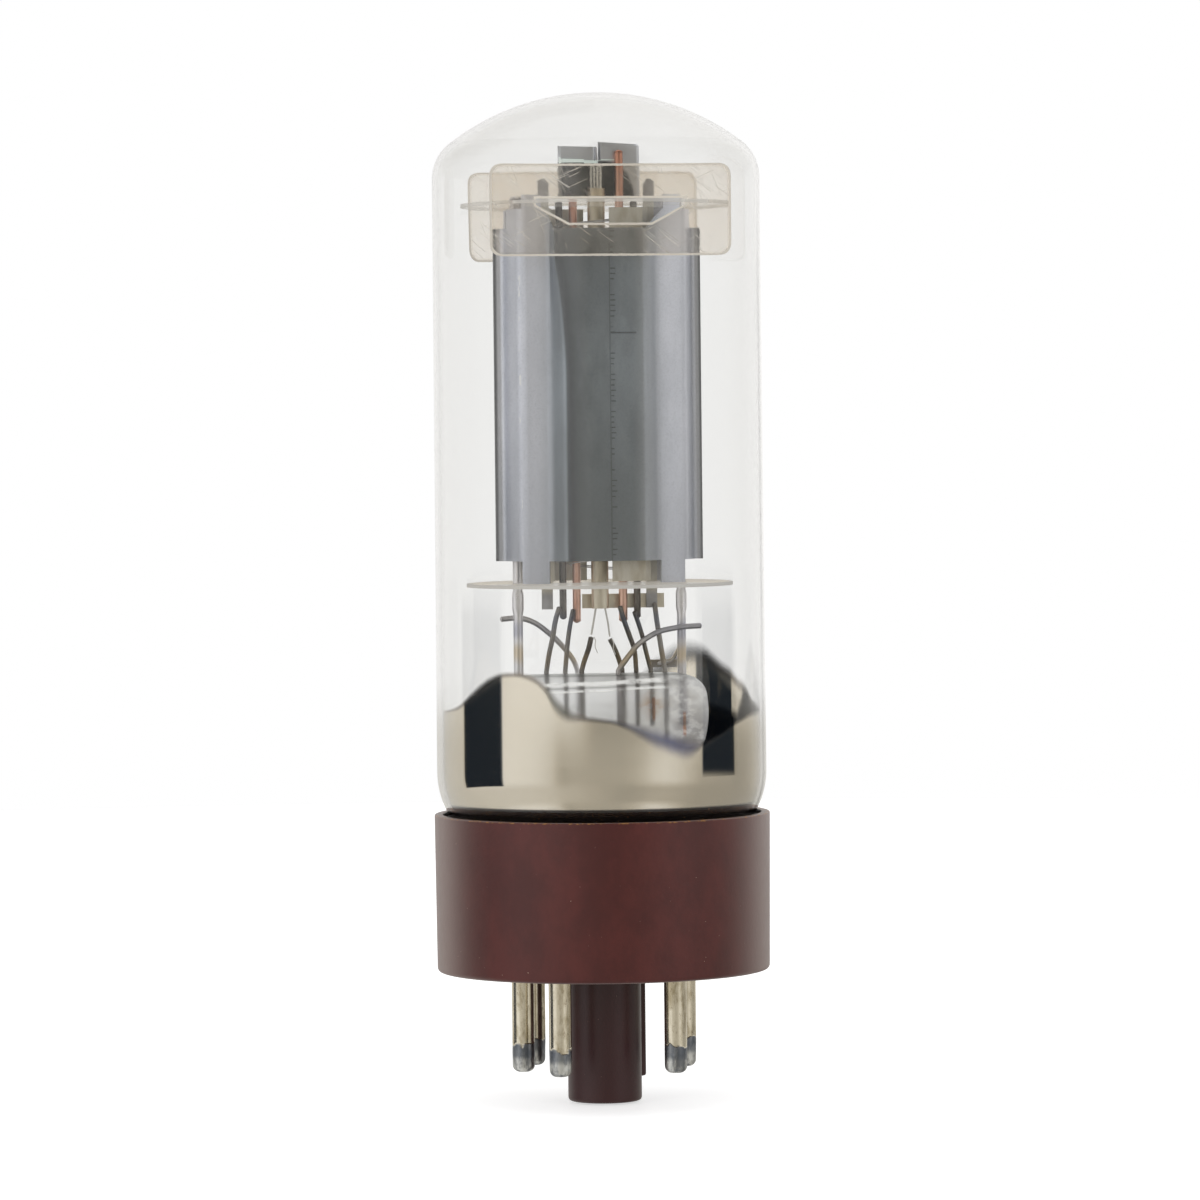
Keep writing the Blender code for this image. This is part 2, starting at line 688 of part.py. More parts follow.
def make_rods(nickel, copper, dark):
    """The four pairs of rods that stand in the micas."""
    support_low = press_top - BLIND_DEPTH + SEAT
    for side, word in ((-1.0, "left"), (1.0, "right")):
        x = side * support_x
        wire(f"support_rod_{word}", [(x, 0, support_low), (x, 0, cage_top + TAB_THROUGH)],
             SUPPORT_RADIUS, nickel, 2)
        x = side * control_x
        top = radiator_front_top + (RADIATOR_SLOPE if side > 0 else -RADIATOR_STEP)
        wire(f"control_grid_rod_{word}", [(x, 0, low_mica - ROD_DROP), (x, 0, top)],
             CONTROL_RADIUS, copper, 2)
        x = side * screen_x
        wire(f"screen_grid_rod_{word}", [(x, 0, low_mica - 0.9 * ROD_DROP), (x, 0, cage_top + SEAT)],
             SCREEN_RADIUS, dark, 2)


def make_winding(name, rod_x, rod_radius, half_depth, turns, material):
    """A grid: one wire wound round its two rods from one mica to the other."""
    half_width = rod_x + rod_radius + FIT + 2.0 * GRID_WIRE
    low = cage_floor + WINDING_MARGIN
    high = high_mica - WINDING_MARGIN
    points = []
    for index in range(turns * CORNERS_PER_TURN + 1):
        angle = 2.0 * math.pi * index / CORNERS_PER_TURN
        height = low + (high - low) * index / (turns * CORNERS_PER_TURN)
        points.append((half_width * math.cos(angle), half_depth * math.sin(angle), height))
    wire(name, points, GRID_WIRE, material, 0)


def make_cathode(material):
    """The oval cathode sleeve."""
    section = []
    for index in range(TUBE_FACETS):
        angle = 2.0 * math.pi * index / TUBE_FACETS
        section.append((CATHODE_HALF_WIDTH * math.cos(angle), CATHODE_HALF_DEPTH * math.sin(angle)))
    folded("cathode_sleeve", section, low_mica - STRAP_DROP - STRAP_HEIGHT, cage_top + CATHODE_RISE,
           material, closed=True, thickness=0.6 * SHEET)


def make_heater(left_tip, right_tip, material):
    """The folded heater: coated legs inside the cathode, with loops at their ends."""
    last = HEATER_LEGS - 1
    top = cage_top + HEATER_RISE
    low = cage_floor + WINDING_MARGIN
    bend = 0.5 * HEATER_PITCH
    exit_level = low_mica - STRAP_DROP - STRAP_HEIGHT
    legs = [HEATER_PITCH * (index - 0.5 * last) for index in range(HEATER_LEGS)]
    points = [left_tip, (legs[0], 0.0, exit_level), (legs[0], 0.0, top - bend)]
    for index in range(last):
        level = top if index % 2 == 0 else low
        edge = level - bend if index % 2 == 0 else level + bend
        points.append((0.5 * (legs[index] + legs[index + 1]), 0.0, level))
        points.append((legs[index + 1], 0.0, edge))
        if index < last - 1:
            points.append((legs[index + 1], 0.0, low + bend if index % 2 == 0 else top - bend))
    points += [(legs[last], 0.0, exit_level), right_tip]
    wire("heater", points, HEATER_RADIUS, material)


def make_beam_plates(material):
    """The beam plates: a side wall, collars across the electron path, and an ear in both micas."""
    edge = 0.5 * SHEET
    ear_end = beam_x + BEAM_EAR_WIDTH
    inside = beam_x - BEAM_FOLD
    section = [(BEAM_LEAF_START, -BEAM_LEAF_DEPTH), (inside, -BEAM_LEAF_DEPTH),
               (beam_x, -BEAM_LEAF_DEPTH + BEAM_FOLD), (beam_x, BEAM_EAR_Y),
               (ear_end, BEAM_EAR_Y)]
    foot = cage_floor + FIT
    head = high_mica - FIT
    ear_foot = low_mica - STRAP_DROP - STRAP_HEIGHT
    ear_head = cage_top + BEAM_EAR_RISE
    neck = beam_x + edge
    past = ear_end + SEAT
    outline = [(BEAM_LEAF_START - SEAT, foot), (neck, foot), (neck, ear_foot), (past, ear_foot),
               (past, ear_head - 0.4 * BEAM_EAR_WIDTH), (ear_end - 0.3 * BEAM_EAR_WIDTH, ear_head),
               (neck + 0.3 * BEAM_EAR_WIDTH, ear_head), (neck, ear_head - 0.4 * BEAM_EAR_WIDTH),
               (neck, head), (BEAM_LEAF_START - SEAT, head),
               (BEAM_LEAF_START - SEAT, head - BEAM_COLLAR), (inside, head - BEAM_COLLAR),
               (inside, foot + BEAM_COLLAR), (BEAM_LEAF_START - SEAT, foot + BEAM_COLLAR)]
    reach = BEAM_LEAF_DEPTH + SHEET
    for side, word in ((1.0, "right"), (-1.0, "left")):
        points = section if side > 0 else half_turn(section)
        shape = [(side * x, z) for x, z in outline]
        cutter = as_cutter(f"beam_outline_{word}", prism(shape, -reach, reach))
        plate = folded(f"beam_plate_{word}", points, ear_foot - SEAT, ear_head + SEAT, material)
        combine(plate, cutter, "INTERSECT")


def make_radiators(material):
    """The blackened radiators: folded sheets held by the tops of the control grid rods."""
    middle = RADIATOR_INNER
    left_end = -control_x - RADIATOR_OUTER
    right_end = beam_x - RADIATOR_GAP
    left = [(-control_x + RADIATOR_LAP, -RADIATOR_FRONT), (left_end, -RADIATOR_FRONT),
            (left_end, RADIATOR_BACK), (middle, RADIATOR_BACK), (middle, RADIATOR_MIDDLE),
            (left_end + RADIATOR_FOLD, RADIATOR_MIDDLE)]
    right = [(middle + SEAT, RADIATOR_FRONT), (right_end, RADIATOR_FRONT),
             (right_end, RADIATOR_BACK), (middle + SEAT, RADIATOR_BACK)]
    for word, section, step in (("left", left, 0.0), ("right", right, RADIATOR_STEP)):
        near = radiator_front_top + step
        reach = RADIATOR_BACK + SHEET
        side = [(-reach, radiator_foot), (reach, radiator_foot), (reach, near + RADIATOR_SLOPE),
                (RADIATOR_FRONT, near), (-reach, near)]
        cutter = as_cutter(f"radiator_outline_{word}", prism(side, -2 * reach, 3 * reach, "X"))
        sheet = folded(f"radiator_{word}", section, radiator_foot - SEAT, near + 2.0 * RADIATOR_SLOPE,
                       material)
        combine(sheet, cutter, "INTERSECT")


def make_straps(material):
    """The strap that ties the cathode to the right beam plate, under the bottom mica."""
    top = low_mica - STRAP_DROP
    low = top - STRAP_HEIGHT
    near = CATHODE_HALF_DEPTH + SHEET + FIT
    reach = beam_x + STRAP_REACH
    outline = [(-2.0 * CATHODE_HALF_WIDTH, low), (reach, low), (reach, top),
               (-2.0 * CATHODE_HALF_WIDTH, top)]
    place("cathode_strap", prism(outline, near, near + SHEET), material)


def between(level):
    """A height between the press and the bottom mica, as a share of the way up."""
    return press_top + level * STEM_TO_MICA


def down_to_pin(x, y, number, ceiling):
    """The lower end of a lead: out of the press, through the neck of the stem, into its pin."""
    neck_x, neck_y = pin_place(number, NECK_RADIUS)
    pin_x, pin_y = pin_place(number)
    neck_level = seal_level + NECK_RISE * (ceiling - seal_level)
    return [(x, y, ceiling - SEAT), (neck_x, neck_y, neck_level),
            (pin_x, pin_y, floor_top + 6.0 * PIN_FLANGE_HEIGHT),
            (pin_x, pin_y, pin_tip + PIN_SOLDER + SEAT)]


# Each lead: where it stands in the press, with x as a share of the anode's half width, its pin if it
# has one, its radius, where it ends beside what it holds, and its route between the two as
# (share of the way across, share of the way up)
IN_FRONT = -(CONTROL_RADIUS + LEAD_RADIUS + FIT)
BESIDE_ROD = SUPPORT_RADIUS + ANODE_LEAD_RADIUS + FIT
LEADS = {
    "screen_lead": ((-0.5275, 0.0), 4, LEAD_RADIUS, (-screen_x - LEAD_LAP, IN_FRONT),
                    [(1.0, 0.77), (0.72, 0.63), (0.48, 0.42), (0.2, 0.22)]),
    "grid_lead": ((-0.3486, 0.0), 5, LEAD_RADIUS, (-control_x - LEAD_LAP, IN_FRONT),
                  [(1.0, 0.74), (0.65, 0.58), (0.3, 0.35)]),
    "heater_lead_left": ((-0.1881, -0.45 * MM), 2, LEAD_RADIUS, (-HEATER_SPREAD, -0.2 * MM),
                         [(1.0, 0.42), (0.76, 0.3), (0.24, 0.13)]),
    "heater_lead_right": ((0.2156, 0.5 * MM), 7, LEAD_RADIUS, (HEATER_SPREAD, 0.1 * MM),
                          [(1.0, 0.39), (0.6, 0.28), (0.22, 0.14)]),
    "grid_brace": ((0.344, 0.0), None, LEAD_RADIUS, (control_x - LEAD_LAP, IN_FRONT),
                   [(1.0, 0.77), (0.7, 0.58), (0.4, 0.42), (0.12, 0.27)]),
    "screen_brace": ((0.4954, 0.0), None, LEAD_RADIUS, (screen_x - LEAD_LAP, IN_FRONT),
                     [(1.0, 0.71), (0.77, 0.58), (0.51, 0.42), (0.26, 0.22)]),
    "cathode_lead": ((0.6284, 0.0), 8, LEAD_RADIUS, (beam_x + 0.9 * MM, 0.15 * MM),
                     [(1.0, 0.8), (0.79, 0.6), (0.53, 0.4), (0.26, 0.2)]),
    "anode_lead_left": ((-0.211, BESIDE_ROD), 3, ANODE_LEAD_RADIUS,
                        (-support_x + ANODE_LEAD_BEND, BESIDE_ROD),
                        [(1.45, 0.63), (1.0, 0.63), (0.83, 0.59), (0.51, 0.45), (0.26, 0.29),
                         (0.06, 0.13)]),
    "anode_lead_right": ((0.1606, -BESIDE_ROD), None, ANODE_LEAD_RADIUS,
                         (support_x - ANODE_LEAD_BEND, -BESIDE_ROD),
                         [(1.43, 0.53), (1.0, 0.51), (0.72, 0.47), (0.51, 0.4), (0.33, 0.32),
                          (0.2, 0.22), (0.09, 0.12)]),
}


def lead_tip(name):
    """Just over the upper end of a lead."""
    _, _, _, end, route = LEADS[name]
    return *end, between(route[0][1]) + 2.0 * SEAT


def make_leads(ceiling, nickel):
    """The leads that rise out of the press, six of them running on down to the pins."""
    for name, ((share, y), number, radius, end, route) in LEADS.items():
        x = share * ANODE_HALF_WIDTH
        above = [(x + across * (end[0] - x), y + across * (end[1] - y), between(up))
                 for across, up in route]
        above.append((x, y, press_top + SEAT))
        points = smooth_route(above, 3.0 * radius)
        if number is None:
            points.append((x, y, press_top - BLIND_DEPTH + SEAT))
        else:
            points += down_to_pin(x, y, number, ceiling)
        wire(name, points, radius, nickel)


def make_getter(dark, nickel):
    """The getter's small channel, held behind the press by a wire from the right support rod."""
    level = press_top + GETTER_SIZE
    start = support_x - 0.5 * GETTER_LENGTH
    half = 0.5 * GETTER_SIZE
    outline = [(GETTER_DEPTH - half, level - half), (GETTER_DEPTH + half, level - half),
               (GETTER_DEPTH + half, level + half), (GETTER_DEPTH + half - SHEET, level + half),
               (GETTER_DEPTH + half - SHEET, level - half + SHEET),
               (GETTER_DEPTH - half + SHEET, level - half + SHEET),
               (GETTER_DEPTH - half + SHEET, level + half), (GETTER_DEPTH - half, level + half)]
    place("getter_channel", prism(outline, start - 0.5 * GETTER_LENGTH,
                                  start + 0.5 * GETTER_LENGTH, "X"), dark)
    near = SUPPORT_RADIUS + GETTER_WIRE + FIT
    back = GETTER_DEPTH - half - GETTER_WIRE - FIT
    wire("getter_wire", [(support_x, near, between(0.45)), (support_x, near, between(0.3)),
                         (start + 0.3 * GETTER_LENGTH, back, level + half),
                         (start - 0.3 * GETTER_LENGTH, back, level)], GETTER_WIRE, nickel)


def main():
    clear_scene()
    phenolic = finish("phenolic", (0.1, 0.035, 0.03), 0.4)
    tinned = finish("tinned_brass", (0.6, 0.55, 0.42), 0.35, 1.0)
    glass = finish("glass", (0.95, 0.97, 0.97), 0.05, 0.0, 1.0)
    cement = finish("cement", (0.03, 0.025, 0.02), 0.9)
    mica = finish("mica", (0.75, 0.68, 0.62), 0.2, 0.0, 0.6)
    carbonised = finish("carbonised_nickel", (0.14, 0.15, 0.16), 0.5, 0.7)
    nickel = finish("nickel", (0.45, 0.44, 0.42), 0.3, 1.0)
    copper = finish("copper", (0.6, 0.28, 0.18), 0.35, 1.0)
    black = finish("blackened_sheet", (0.04, 0.045, 0.05), 0.4, 0.6)
    oxide = finish("white_oxide", (0.8, 0.78, 0.72), 0.8)

    make_base(phenolic)
    for number in PIN_NUMBERS:
        make_pin(number, tinned)
    make_bulb(glass)
    make_cement(cement)
    holes = [(share * ANODE_HALF_WIDTH, y, radius, number is not None)
             for (share, y), number, radius, _, _ in LEADS.values()]
    holes += [(side * support_x, 0.0, SUPPORT_RADIUS, False) for side in (-1.0, 1.0)]
    ceiling = make_stem(glass, holes)
    make_exhaust(ceiling, glass)
    make_anode(carbonised)
    make_micas(mica)
    make_spacers(mica)
    make_rods(nickel, copper, carbonised)
    make_winding("control_grid_winding", control_x, CONTROL_RADIUS, CONTROL_DEPTH, CONTROL_TURNS, nickel)
    make_winding("screen_grid_winding", screen_x, SCREEN_RADIUS, SCREEN_DEPTH, SCREEN_TURNS, nickel)
    make_cathode(nickel)
    make_beam_plates(nickel)
    make_radiators(black)
    make_straps(nickel)
    make_leads(ceiling, nickel)
    make_heater(lead_tip("heater_lead_left"), lead_tip("heater_lead_right"), oxide)
    make_getter(black, nickel)


main()
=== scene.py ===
# %% [markdown]
# # A beam power tube, dressed around its CAD frame
#
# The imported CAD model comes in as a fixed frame: every solid keeps its place and its name. This lesson
# adds finer surfaces and finishes around it. Shapes are worked out in millimetres, and the function that
# makes a mesh turns them into metres.

# %% Load the frame
import math

import bmesh
import bpy
import numpy as np
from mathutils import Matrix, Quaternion, Vector


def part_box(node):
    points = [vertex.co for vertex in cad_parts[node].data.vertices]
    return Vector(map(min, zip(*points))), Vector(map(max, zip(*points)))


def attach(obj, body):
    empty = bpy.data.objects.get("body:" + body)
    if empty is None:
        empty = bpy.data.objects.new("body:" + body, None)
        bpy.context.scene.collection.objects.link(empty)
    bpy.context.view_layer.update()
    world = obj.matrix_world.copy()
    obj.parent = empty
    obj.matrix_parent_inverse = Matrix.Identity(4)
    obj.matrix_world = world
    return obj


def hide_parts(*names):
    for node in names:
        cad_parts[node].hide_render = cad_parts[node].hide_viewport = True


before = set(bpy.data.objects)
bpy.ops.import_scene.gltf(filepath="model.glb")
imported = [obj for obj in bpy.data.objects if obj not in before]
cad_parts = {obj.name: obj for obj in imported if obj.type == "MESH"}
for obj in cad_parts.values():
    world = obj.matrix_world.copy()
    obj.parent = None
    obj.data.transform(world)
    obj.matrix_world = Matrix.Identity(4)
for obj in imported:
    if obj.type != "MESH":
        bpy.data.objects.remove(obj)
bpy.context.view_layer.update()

MM = 0.001

# %% [markdown]
# ## Shared sizes
#
# A part that is dressed must agree with the part that was engineered. So the levels are read from the
# CAD solids wherever a box gives them, and only what a box can't tell is written down here.

# %% Levels from the frame
def box(node):
    """The low and the high corner of a CAD solid's box, in millimetres."""
    return [np.array(corner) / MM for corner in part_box(node)]


def levels(node):
    return [corner[2] for corner in box(node)]


BULB_TOP = levels("glass_bulb")[1]
PRESS_TOP = levels("glass_stem")[1]
LOW_MICA, CAGE_FLOOR = levels("bottom_mica")
HIGH_MICA, CAGE_TOP = levels("top_mica")
ANODE_HALF = box("anode_front")[1][0]
SHEET = 0.2
# the side that the photograph shows, as an angle round the tube
FRONT = math.radians(-8.8)
print("levels in mm:", [round(float(level), 2) for level in (PRESS_TOP, LOW_MICA, CAGE_TOP, BULB_TOP)])


# %% [markdown]
# ## Surfaces from two parameters
#
# Nearly everything in a tube is turned, drawn or folded. Each of these is a grid of points: one
# parameter runs along a profile or a path, the other round it. Numpy works out the whole grid at once,
# and one function turns any grid into faces.

# %% Grid to faces
def grid_faces(rows, columns, start=0):
    """Four corners for each cell: (row, column), (row, column + 1), (row + 1, column + 1) and
    (row + 1, column), where the last column is followed by the first."""
    across = np.arange(columns)
    down = np.arange(rows - 1)[:, None] * columns
    after = (across + 1) % columns
    corners = [down + across, down + after, down + columns + after, down + columns + across]
    return np.stack(corners, axis=-1).reshape(-1, 4) + start


def make_piece(name, grids, finish, *replaces, sharp=40.0, shadow=True):
    """One mesh object from several grids, with doubles merged and faces turned out."""
    points, faces, start = [], [], 0
    for grid in grids:
        rows, columns, _ = grid.shape
        points.append(grid.reshape(-1, 3) * MM)
        faces.append(grid_faces(rows, columns, start))
        start += rows * columns
    mesh = bpy.data.meshes.new(name)
    mesh.from_pydata(np.concatenate(points), [], np.concatenate(faces))
    work = bmesh.new()
    work.from_mesh(mesh)
    bmesh.ops.remove_doubles(work, verts=work.verts, dist=0.0005 * MM)
    bmesh.ops.dissolve_degenerate(work, edges=work.edges, dist=0.0002 * MM)
    bmesh.ops.recalc_face_normals(work, faces=work.faces)
    work.to_mesh(mesh)
    work.free()
    mesh.shade_smooth()
    mesh.set_sharp_from_angle(angle=math.radians(sharp))
    mesh.materials.append(finish.material)
    made = bpy.data.objects.new(name, mesh)
    made.visible_shadow = shadow
    bpy.context.scene.collection.objects.link(made)
    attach(made, "root")
    if replaces:
        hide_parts(*replaces)
    print(f"{name}: {len(mesh.polygons)} faces")


# %% Profiles and paths
def all_round(count):
    """Evenly spaced angles of one full turn."""
    return np.linspace(0.0, 2.0 * math.pi, count, endpoint=False)


def arc(centre, radius, start, end, count):
    """Points at one radius from a centre, at evenly spaced angles between two, in degrees."""
    angles = np.radians(np.linspace(start, end, count))
    return np.stack([centre[0] + radius * np.cos(angles), centre[1] + radius * np.sin(angles)], axis=-1)


def rounded(corners, radius, steps=6, closed=False):
    """A line through corners, each corner given way to a parabola: it starts and ends one radius from
    the corner, or half a run where the run is shorter, and the corner is its control point."""
    corners = np.asarray(corners, float)
    reach = np.broadcast_to(radius, len(corners))[:, None]

    def towards(shift):
        run = np.roll(corners, shift, axis=0) - corners
        length = np.linalg.norm(run, axis=1, keepdims=True)
        return (corners + run / np.maximum(length, 1e-12) * np.minimum(reach, 0.5 * length))[:, None]

    t = np.linspace(0.0, 1.0, steps)[None, :, None]
    curves = (1 - t) ** 2 * towards(1) + 2 * t * (1 - t) * corners[:, None] + t ** 2 * towards(-1)
    if closed:
        return curves.reshape(-1, corners.shape[1])
    return np.concatenate([corners[:1], curves[1:-1].reshape(-1, corners.shape[1]), corners[-1:]])


def smooth_through(points, count):
    """A cubic curve through points, read at even steps: each span leaves a point along the line that
    joins its two neighbours."""
    points = np.asarray(points, float)
    run = np.linalg.norm(np.diff(points, axis=0), axis=1)
    knots = np.concatenate([[0.0], np.cumsum(run)])
    slopes = np.gradient(points, knots, axis=0)
    at = np.linspace(0.0, knots[-1], count)
    span = np.clip(np.searchsorted(knots, at, side="right") - 1, 0, len(points) - 2)
    width = (knots[span + 1] - knots[span])[:, None]
    t = (at - knots[span])[:, None] / width
    return ((2 * t ** 3 - 3 * t ** 2 + 1) * points[span] + (t ** 3 - 2 * t ** 2 + t) * width * slopes[span]
            + (3 * t ** 2 - 2 * t ** 3) * points[span + 1] + (t ** 3 - t ** 2) * width * slopes[span + 1])


def turned(profile, count=96, centre=(0.0, 0.0)):
    """A profile of (radius, height) carried round an upright line: x is the radius times the cosine of
    the angle, y the radius times its sine."""
    radius, height = profile[:, :1], profile[:, 1:]
    x = centre[0] + radius * np.cos(all_round(count))
    y = centre[1] + radius * np.sin(all_round(count))
    return np.stack([x, y, np.broadcast_to(height, x.shape)], axis=-1)


def round_wire(path, radius, sides, flatten=None):
    """A circle carried along a path: each point is the path's, plus the radius times the cosine of the
    angle along one direction square to the path and times its sine along the other. Both ends close
    over in a quarter circle. Flatten gives shares of the length and how far the circle is squashed."""
    path = np.asarray(path, float)
    tangent = np.gradient(path, axis=0)
    tangent /= np.linalg.norm(tangent, axis=1, keepdims=True)
    turn = np.linspace(0.0, 0.5 * math.pi, 5)
    rise = radius * (1.0 - np.cos(turn))[:, None]
    line = np.concatenate([path[0] + tangent[0] * rise, path[1:-1], path[-1] - tangent[-1] * rise[::-1]])
    fill = radius * np.sin(turn)
    size = np.concatenate([fill, np.full(len(path) - 2, radius), fill[::-1]])
    along = np.concatenate([np.repeat(tangent[:1], 5, 0), tangent[1:-1], np.repeat(tangent[-1:], 5, 0)])
    one = np.cross(along, [0.0, 1.0, 0.0])
    weak = np.linalg.norm(one, axis=1) < 0.2
    one[weak] = np.cross(along[weak], [1.0, 0.0, 0.0])
    one /= np.linalg.norm(one, axis=1, keepdims=True)
    two = np.cross(along, one)
    angles = all_round(sides)[None, :, None]
    flat = 1.0 if flatten is None else np.interp(np.linspace(0, 1, len(line)), *flatten)[:, None, None]
    return (line[:, None] + size[:, None, None]
            * (np.cos(angles) * one[:, None] * flat + np.sin(angles) * two[:, None] / flat))


def upright_sheet(section, low, high, rows):
    """A folded sheet: a plan line of (x, y) carried up from its low to its high edge. Front and back
    lie half a sheet to either side of it, square to the line, and meet in a closing row at both ends."""
    low = np.broadcast_to(low, len(section))
    tangent = np.gradient(section, axis=0)
    tangent /= np.maximum(np.linalg.norm(tangent, axis=1, keepdims=True), 1e-12)
    square = np.stack([tangent[:, 1], -tangent[:, 0]], axis=-1) * 0.5 * SHEET
    z = low + (high - low) * np.linspace(0.0, 1.0, rows)[:, None]

    def layer(plan):
        return np.concatenate([np.broadcast_to(plan, (rows, *plan.shape)), z[..., None]], axis=-1)
    loop = np.concatenate([layer(section + square), layer(section - square)[:, ::-1]], axis=1)
    middle = layer(section)
    ends = np.concatenate([middle, middle[:, ::-1]], axis=1)
    return np.concatenate([ends[:1], loop, ends[-1:]])


print("surface functions ready")


# %% [markdown]
# ## Shader maths in plain expressions
#
# A finish is a small calculation over the surface. Writing it as node after node hides the idea, so a
# socket is wrapped in a class that takes part in Python expressions: `1 - mask` adds its own Math node.

# %% The socket class
class Field:
    """An output socket. Each operation on it adds a Math node and gives back that node's output."""

    def __init__(self, shading, socket):
        self.shading = shading
        self.socket = socket

    def math(self, operation, *others):
        return self.shading.node("Math", dict(enumerate((self, *others))), operation=operation)

    def __neg__(self):
        return self.math("MULTIPLY", -1.0)

    def __abs__(self):
        return self.math("ABSOLUTE")

    def above(self, low, high):
        """0 below the low value, 1 over the high one, with a soft step between."""
        return self.shading.node("MapRange", {"Value": self, "From Min": low, "From Max": high},
                                 interpolation_type="SMOOTHSTEP")

    def below(self, low, high):
        return 1 - self.above(low, high)

    def at(self, place, near, far):
        """1 close to a value, 0 far from it."""
        return abs(self - place).below(near, far)


def overload(word, operation):
    """Give the class an operator and its reflected form, for `mask - 1` and for `1 - mask`."""
    setattr(Field, f"__{word}__", lambda self, other: self.math(operation, other))
    setattr(Field, f"__r{word}__",
            lambda self, other: self.shading.node("Math", {0: other, 1: self}, operation=operation))


for word, operation in (("add", "ADD"), ("sub", "SUBTRACT"), ("mul", "MULTIPLY"), ("truediv", "DIVIDE")):
    overload(word, operation)


# %% Node trees
def shade(red, green, blue):
    """A screen colour of 0 to 255 as linear light: each share to the power 2.4 after its offset."""
    share = np.array([red, green, blue]) / 255.0
    linear = np.where(share <= 0.04045, share / 12.92, ((share + 0.055) / 1.055) ** 2.4)
    return (*[float(value) for value in linear], 1.0)


class Shading:
    """A node tree: one method adds any node, sets it, and joins or fills its sockets."""

    def __init__(self, tree):
        self.tree = tree
        tree.nodes.clear()

    def raw(self, kind, inputs=None, stops=None, **settings):
        made = self.tree.nodes.new("ShaderNode" + kind)
        for key, value in settings.items():
            setattr(made, key, value)
        if stops:
            ramp = made.color_ramp.elements
            while len(ramp) < len(stops):
                ramp.new(1.0)
            for element, (place, tone) in zip(ramp, stops):
                element.position = place
                element.color = tone if hasattr(tone, "__len__") else (tone, tone, tone, 1.0)
        for key, value in (inputs or {}).items():
            if isinstance(value, Field):
                self.tree.links.new(value.socket, made.inputs[key])
            else:
                made.inputs[key].default_value = value
        return made

    def node(self, kind, inputs=None, output=0, **settings):
        return Field(self, self.raw(kind, inputs, **settings).outputs[output])

    def split(self, kind, whole):
        """The three parts of a vector or a colour."""
        return [Field(self, socket) for socket in self.raw("Separate" + kind, {0: whole}).outputs]

    def mix(self, share, first, second):
        """A colour between two, by a share. A colour of three numbers is a screen colour."""
        first, second = [shade(*tone) if isinstance(tone, tuple) and len(tone) == 3 else tone
                         for tone in (first, second)]
        return self.node("Mix", {0: share, 6: first, 7: second}, output=2, data_type="RGBA")

    def layers(self, tone, *over):
        """A colour with others laid over it in turn, each as a share and a colour."""
        for share, upper in over:
            tone = self.mix(share, tone, upper)
        return tone

    def place(self):
        """The point on the surface in the object's own frame, and its three parts in millimetres."""
        spot = self.node("TexCoord", output="Object")
        return spot, *[part / MM for part in self.split("XYZ", spot)]

    def round_share(self, x, y):
        """The direction round the tube as a share of a turn: 0.5 faces the photograph's side."""
        angle = x.math("ARCTAN2", -y) - FRONT
        return (angle / (2.0 * math.pi) + 0.5).math("FRACT")

    def noise(self, spot, size, detail=3.0, rough=0.5, stretch=None):
        """Noise whose features are about one size across, in millimetres."""
        if stretch is not None:
            spot = self.node("Mapping", {"Vector": spot, "Scale": stretch})
        return self.node("TexNoise", {"Vector": spot, "Scale": 1.0 / (size * MM), "Detail": detail,
                                      "Roughness": rough})

    def bump(self, height, depth):
        """A normal from a height of 0 to 1, its depth in millimetres."""
        return self.node("Bump", {"Height": height, "Distance": depth * MM, "Strength": 1.0})


# %% Finishes as a class
class Finish(Shading):
    """A material with one Principled shader. The slot, one of the part's material slots, is kept but not
    used.
    Sockets that are the same all over are set at the start."""

    def __init__(self, name, slot=None, **fixed):
        self.material = bpy.data.materials.new(name)
        self.material.use_nodes = True
        super().__init__(self.material.node_tree)
        self.slot = slot
        self.surface = self.node("BsdfPrincipled",
                                 {key.replace("_", " "): value for key, value in fixed.items()})
        self.end = self.raw("OutputMaterial", {0: self.surface})

    def feed(self, **fields):
        """Join fields to the shader's sockets."""
        for key, field in fields.items():
            self.tree.links.new(field.socket, self.surface.socket.node.inputs[key.replace("_", " ")])
        return self

    def lay_over(self, tone, glow, share):
        """A rough pale shader over this one by a share, with a painted glow: an emission that stands in for
        light from behind.
        """
        pale = self.node("BsdfPrincipled", {"Base Color": tone, "Roughness": 0.5, "Emission Color": tone,
                                            "Emission Strength": glow})
        both = self.node("MixShader", {0: share, 1: self.surface, 2: pale})
        self.tree.links.new(both.socket, self.end.inputs[0])
        return self


print("shader classes ready")

# %% [markdown]
# ## Finishes
#
# The base is a moulded red-brown phenolic, satin, with faint clouds in its colour and a few pale grains
# that show where the rim was cut. Its side has a painted sheen: the colour turns paler where the surface
# turns away from view. The key post is the same moulding, a little darker.

# %% Moulded base
def phenolic_finish():
    f = Finish("phenolic", "phenolic", IOR=1.5)
    spot, _, _, z = f.place()
    cloud = f.noise(spot, 6.0, 5.0, 0.65, (1.0, 1.0, 0.6))
    post = z.below(13.2, 14.2)
    # painted sheen: the colour turns paler where the surface turns away from view
    painted_sheen = f.node("LayerWeight", {"Blend": 0.5}, output=1).above(0.1, 0.74)
    speck = f.noise(spot, 0.3, 1.0, 0.4).above(0.80, 0.83)
    crumbs = f.noise(spot, 0.45, 3.0, 0.7).above(0.5, 0.6) * z.above(30.12, 30.24)
    body = f.layers((66, 20, 17), (cloud.above(0.35, 0.65), (80, 28, 24)), (post, (56, 25, 27)),
                    (painted_sheen * painted_sheen * z.above(13.2, 14.2), (124, 105, 100)),
                    (speck * 0.6, (190, 160, 140)), (crumbs, (150, 104, 52)))
    return f.feed(Base_Color=body, Roughness=0.3 + 0.16 * f.noise(spot, 1.6, 5.0, 0.65),
                  Normal=f.bump(0.6 * f.noise(spot, 0.45, 3.0) + crumbs + speck, 0.02))


PHENOLIC = phenolic_finish()

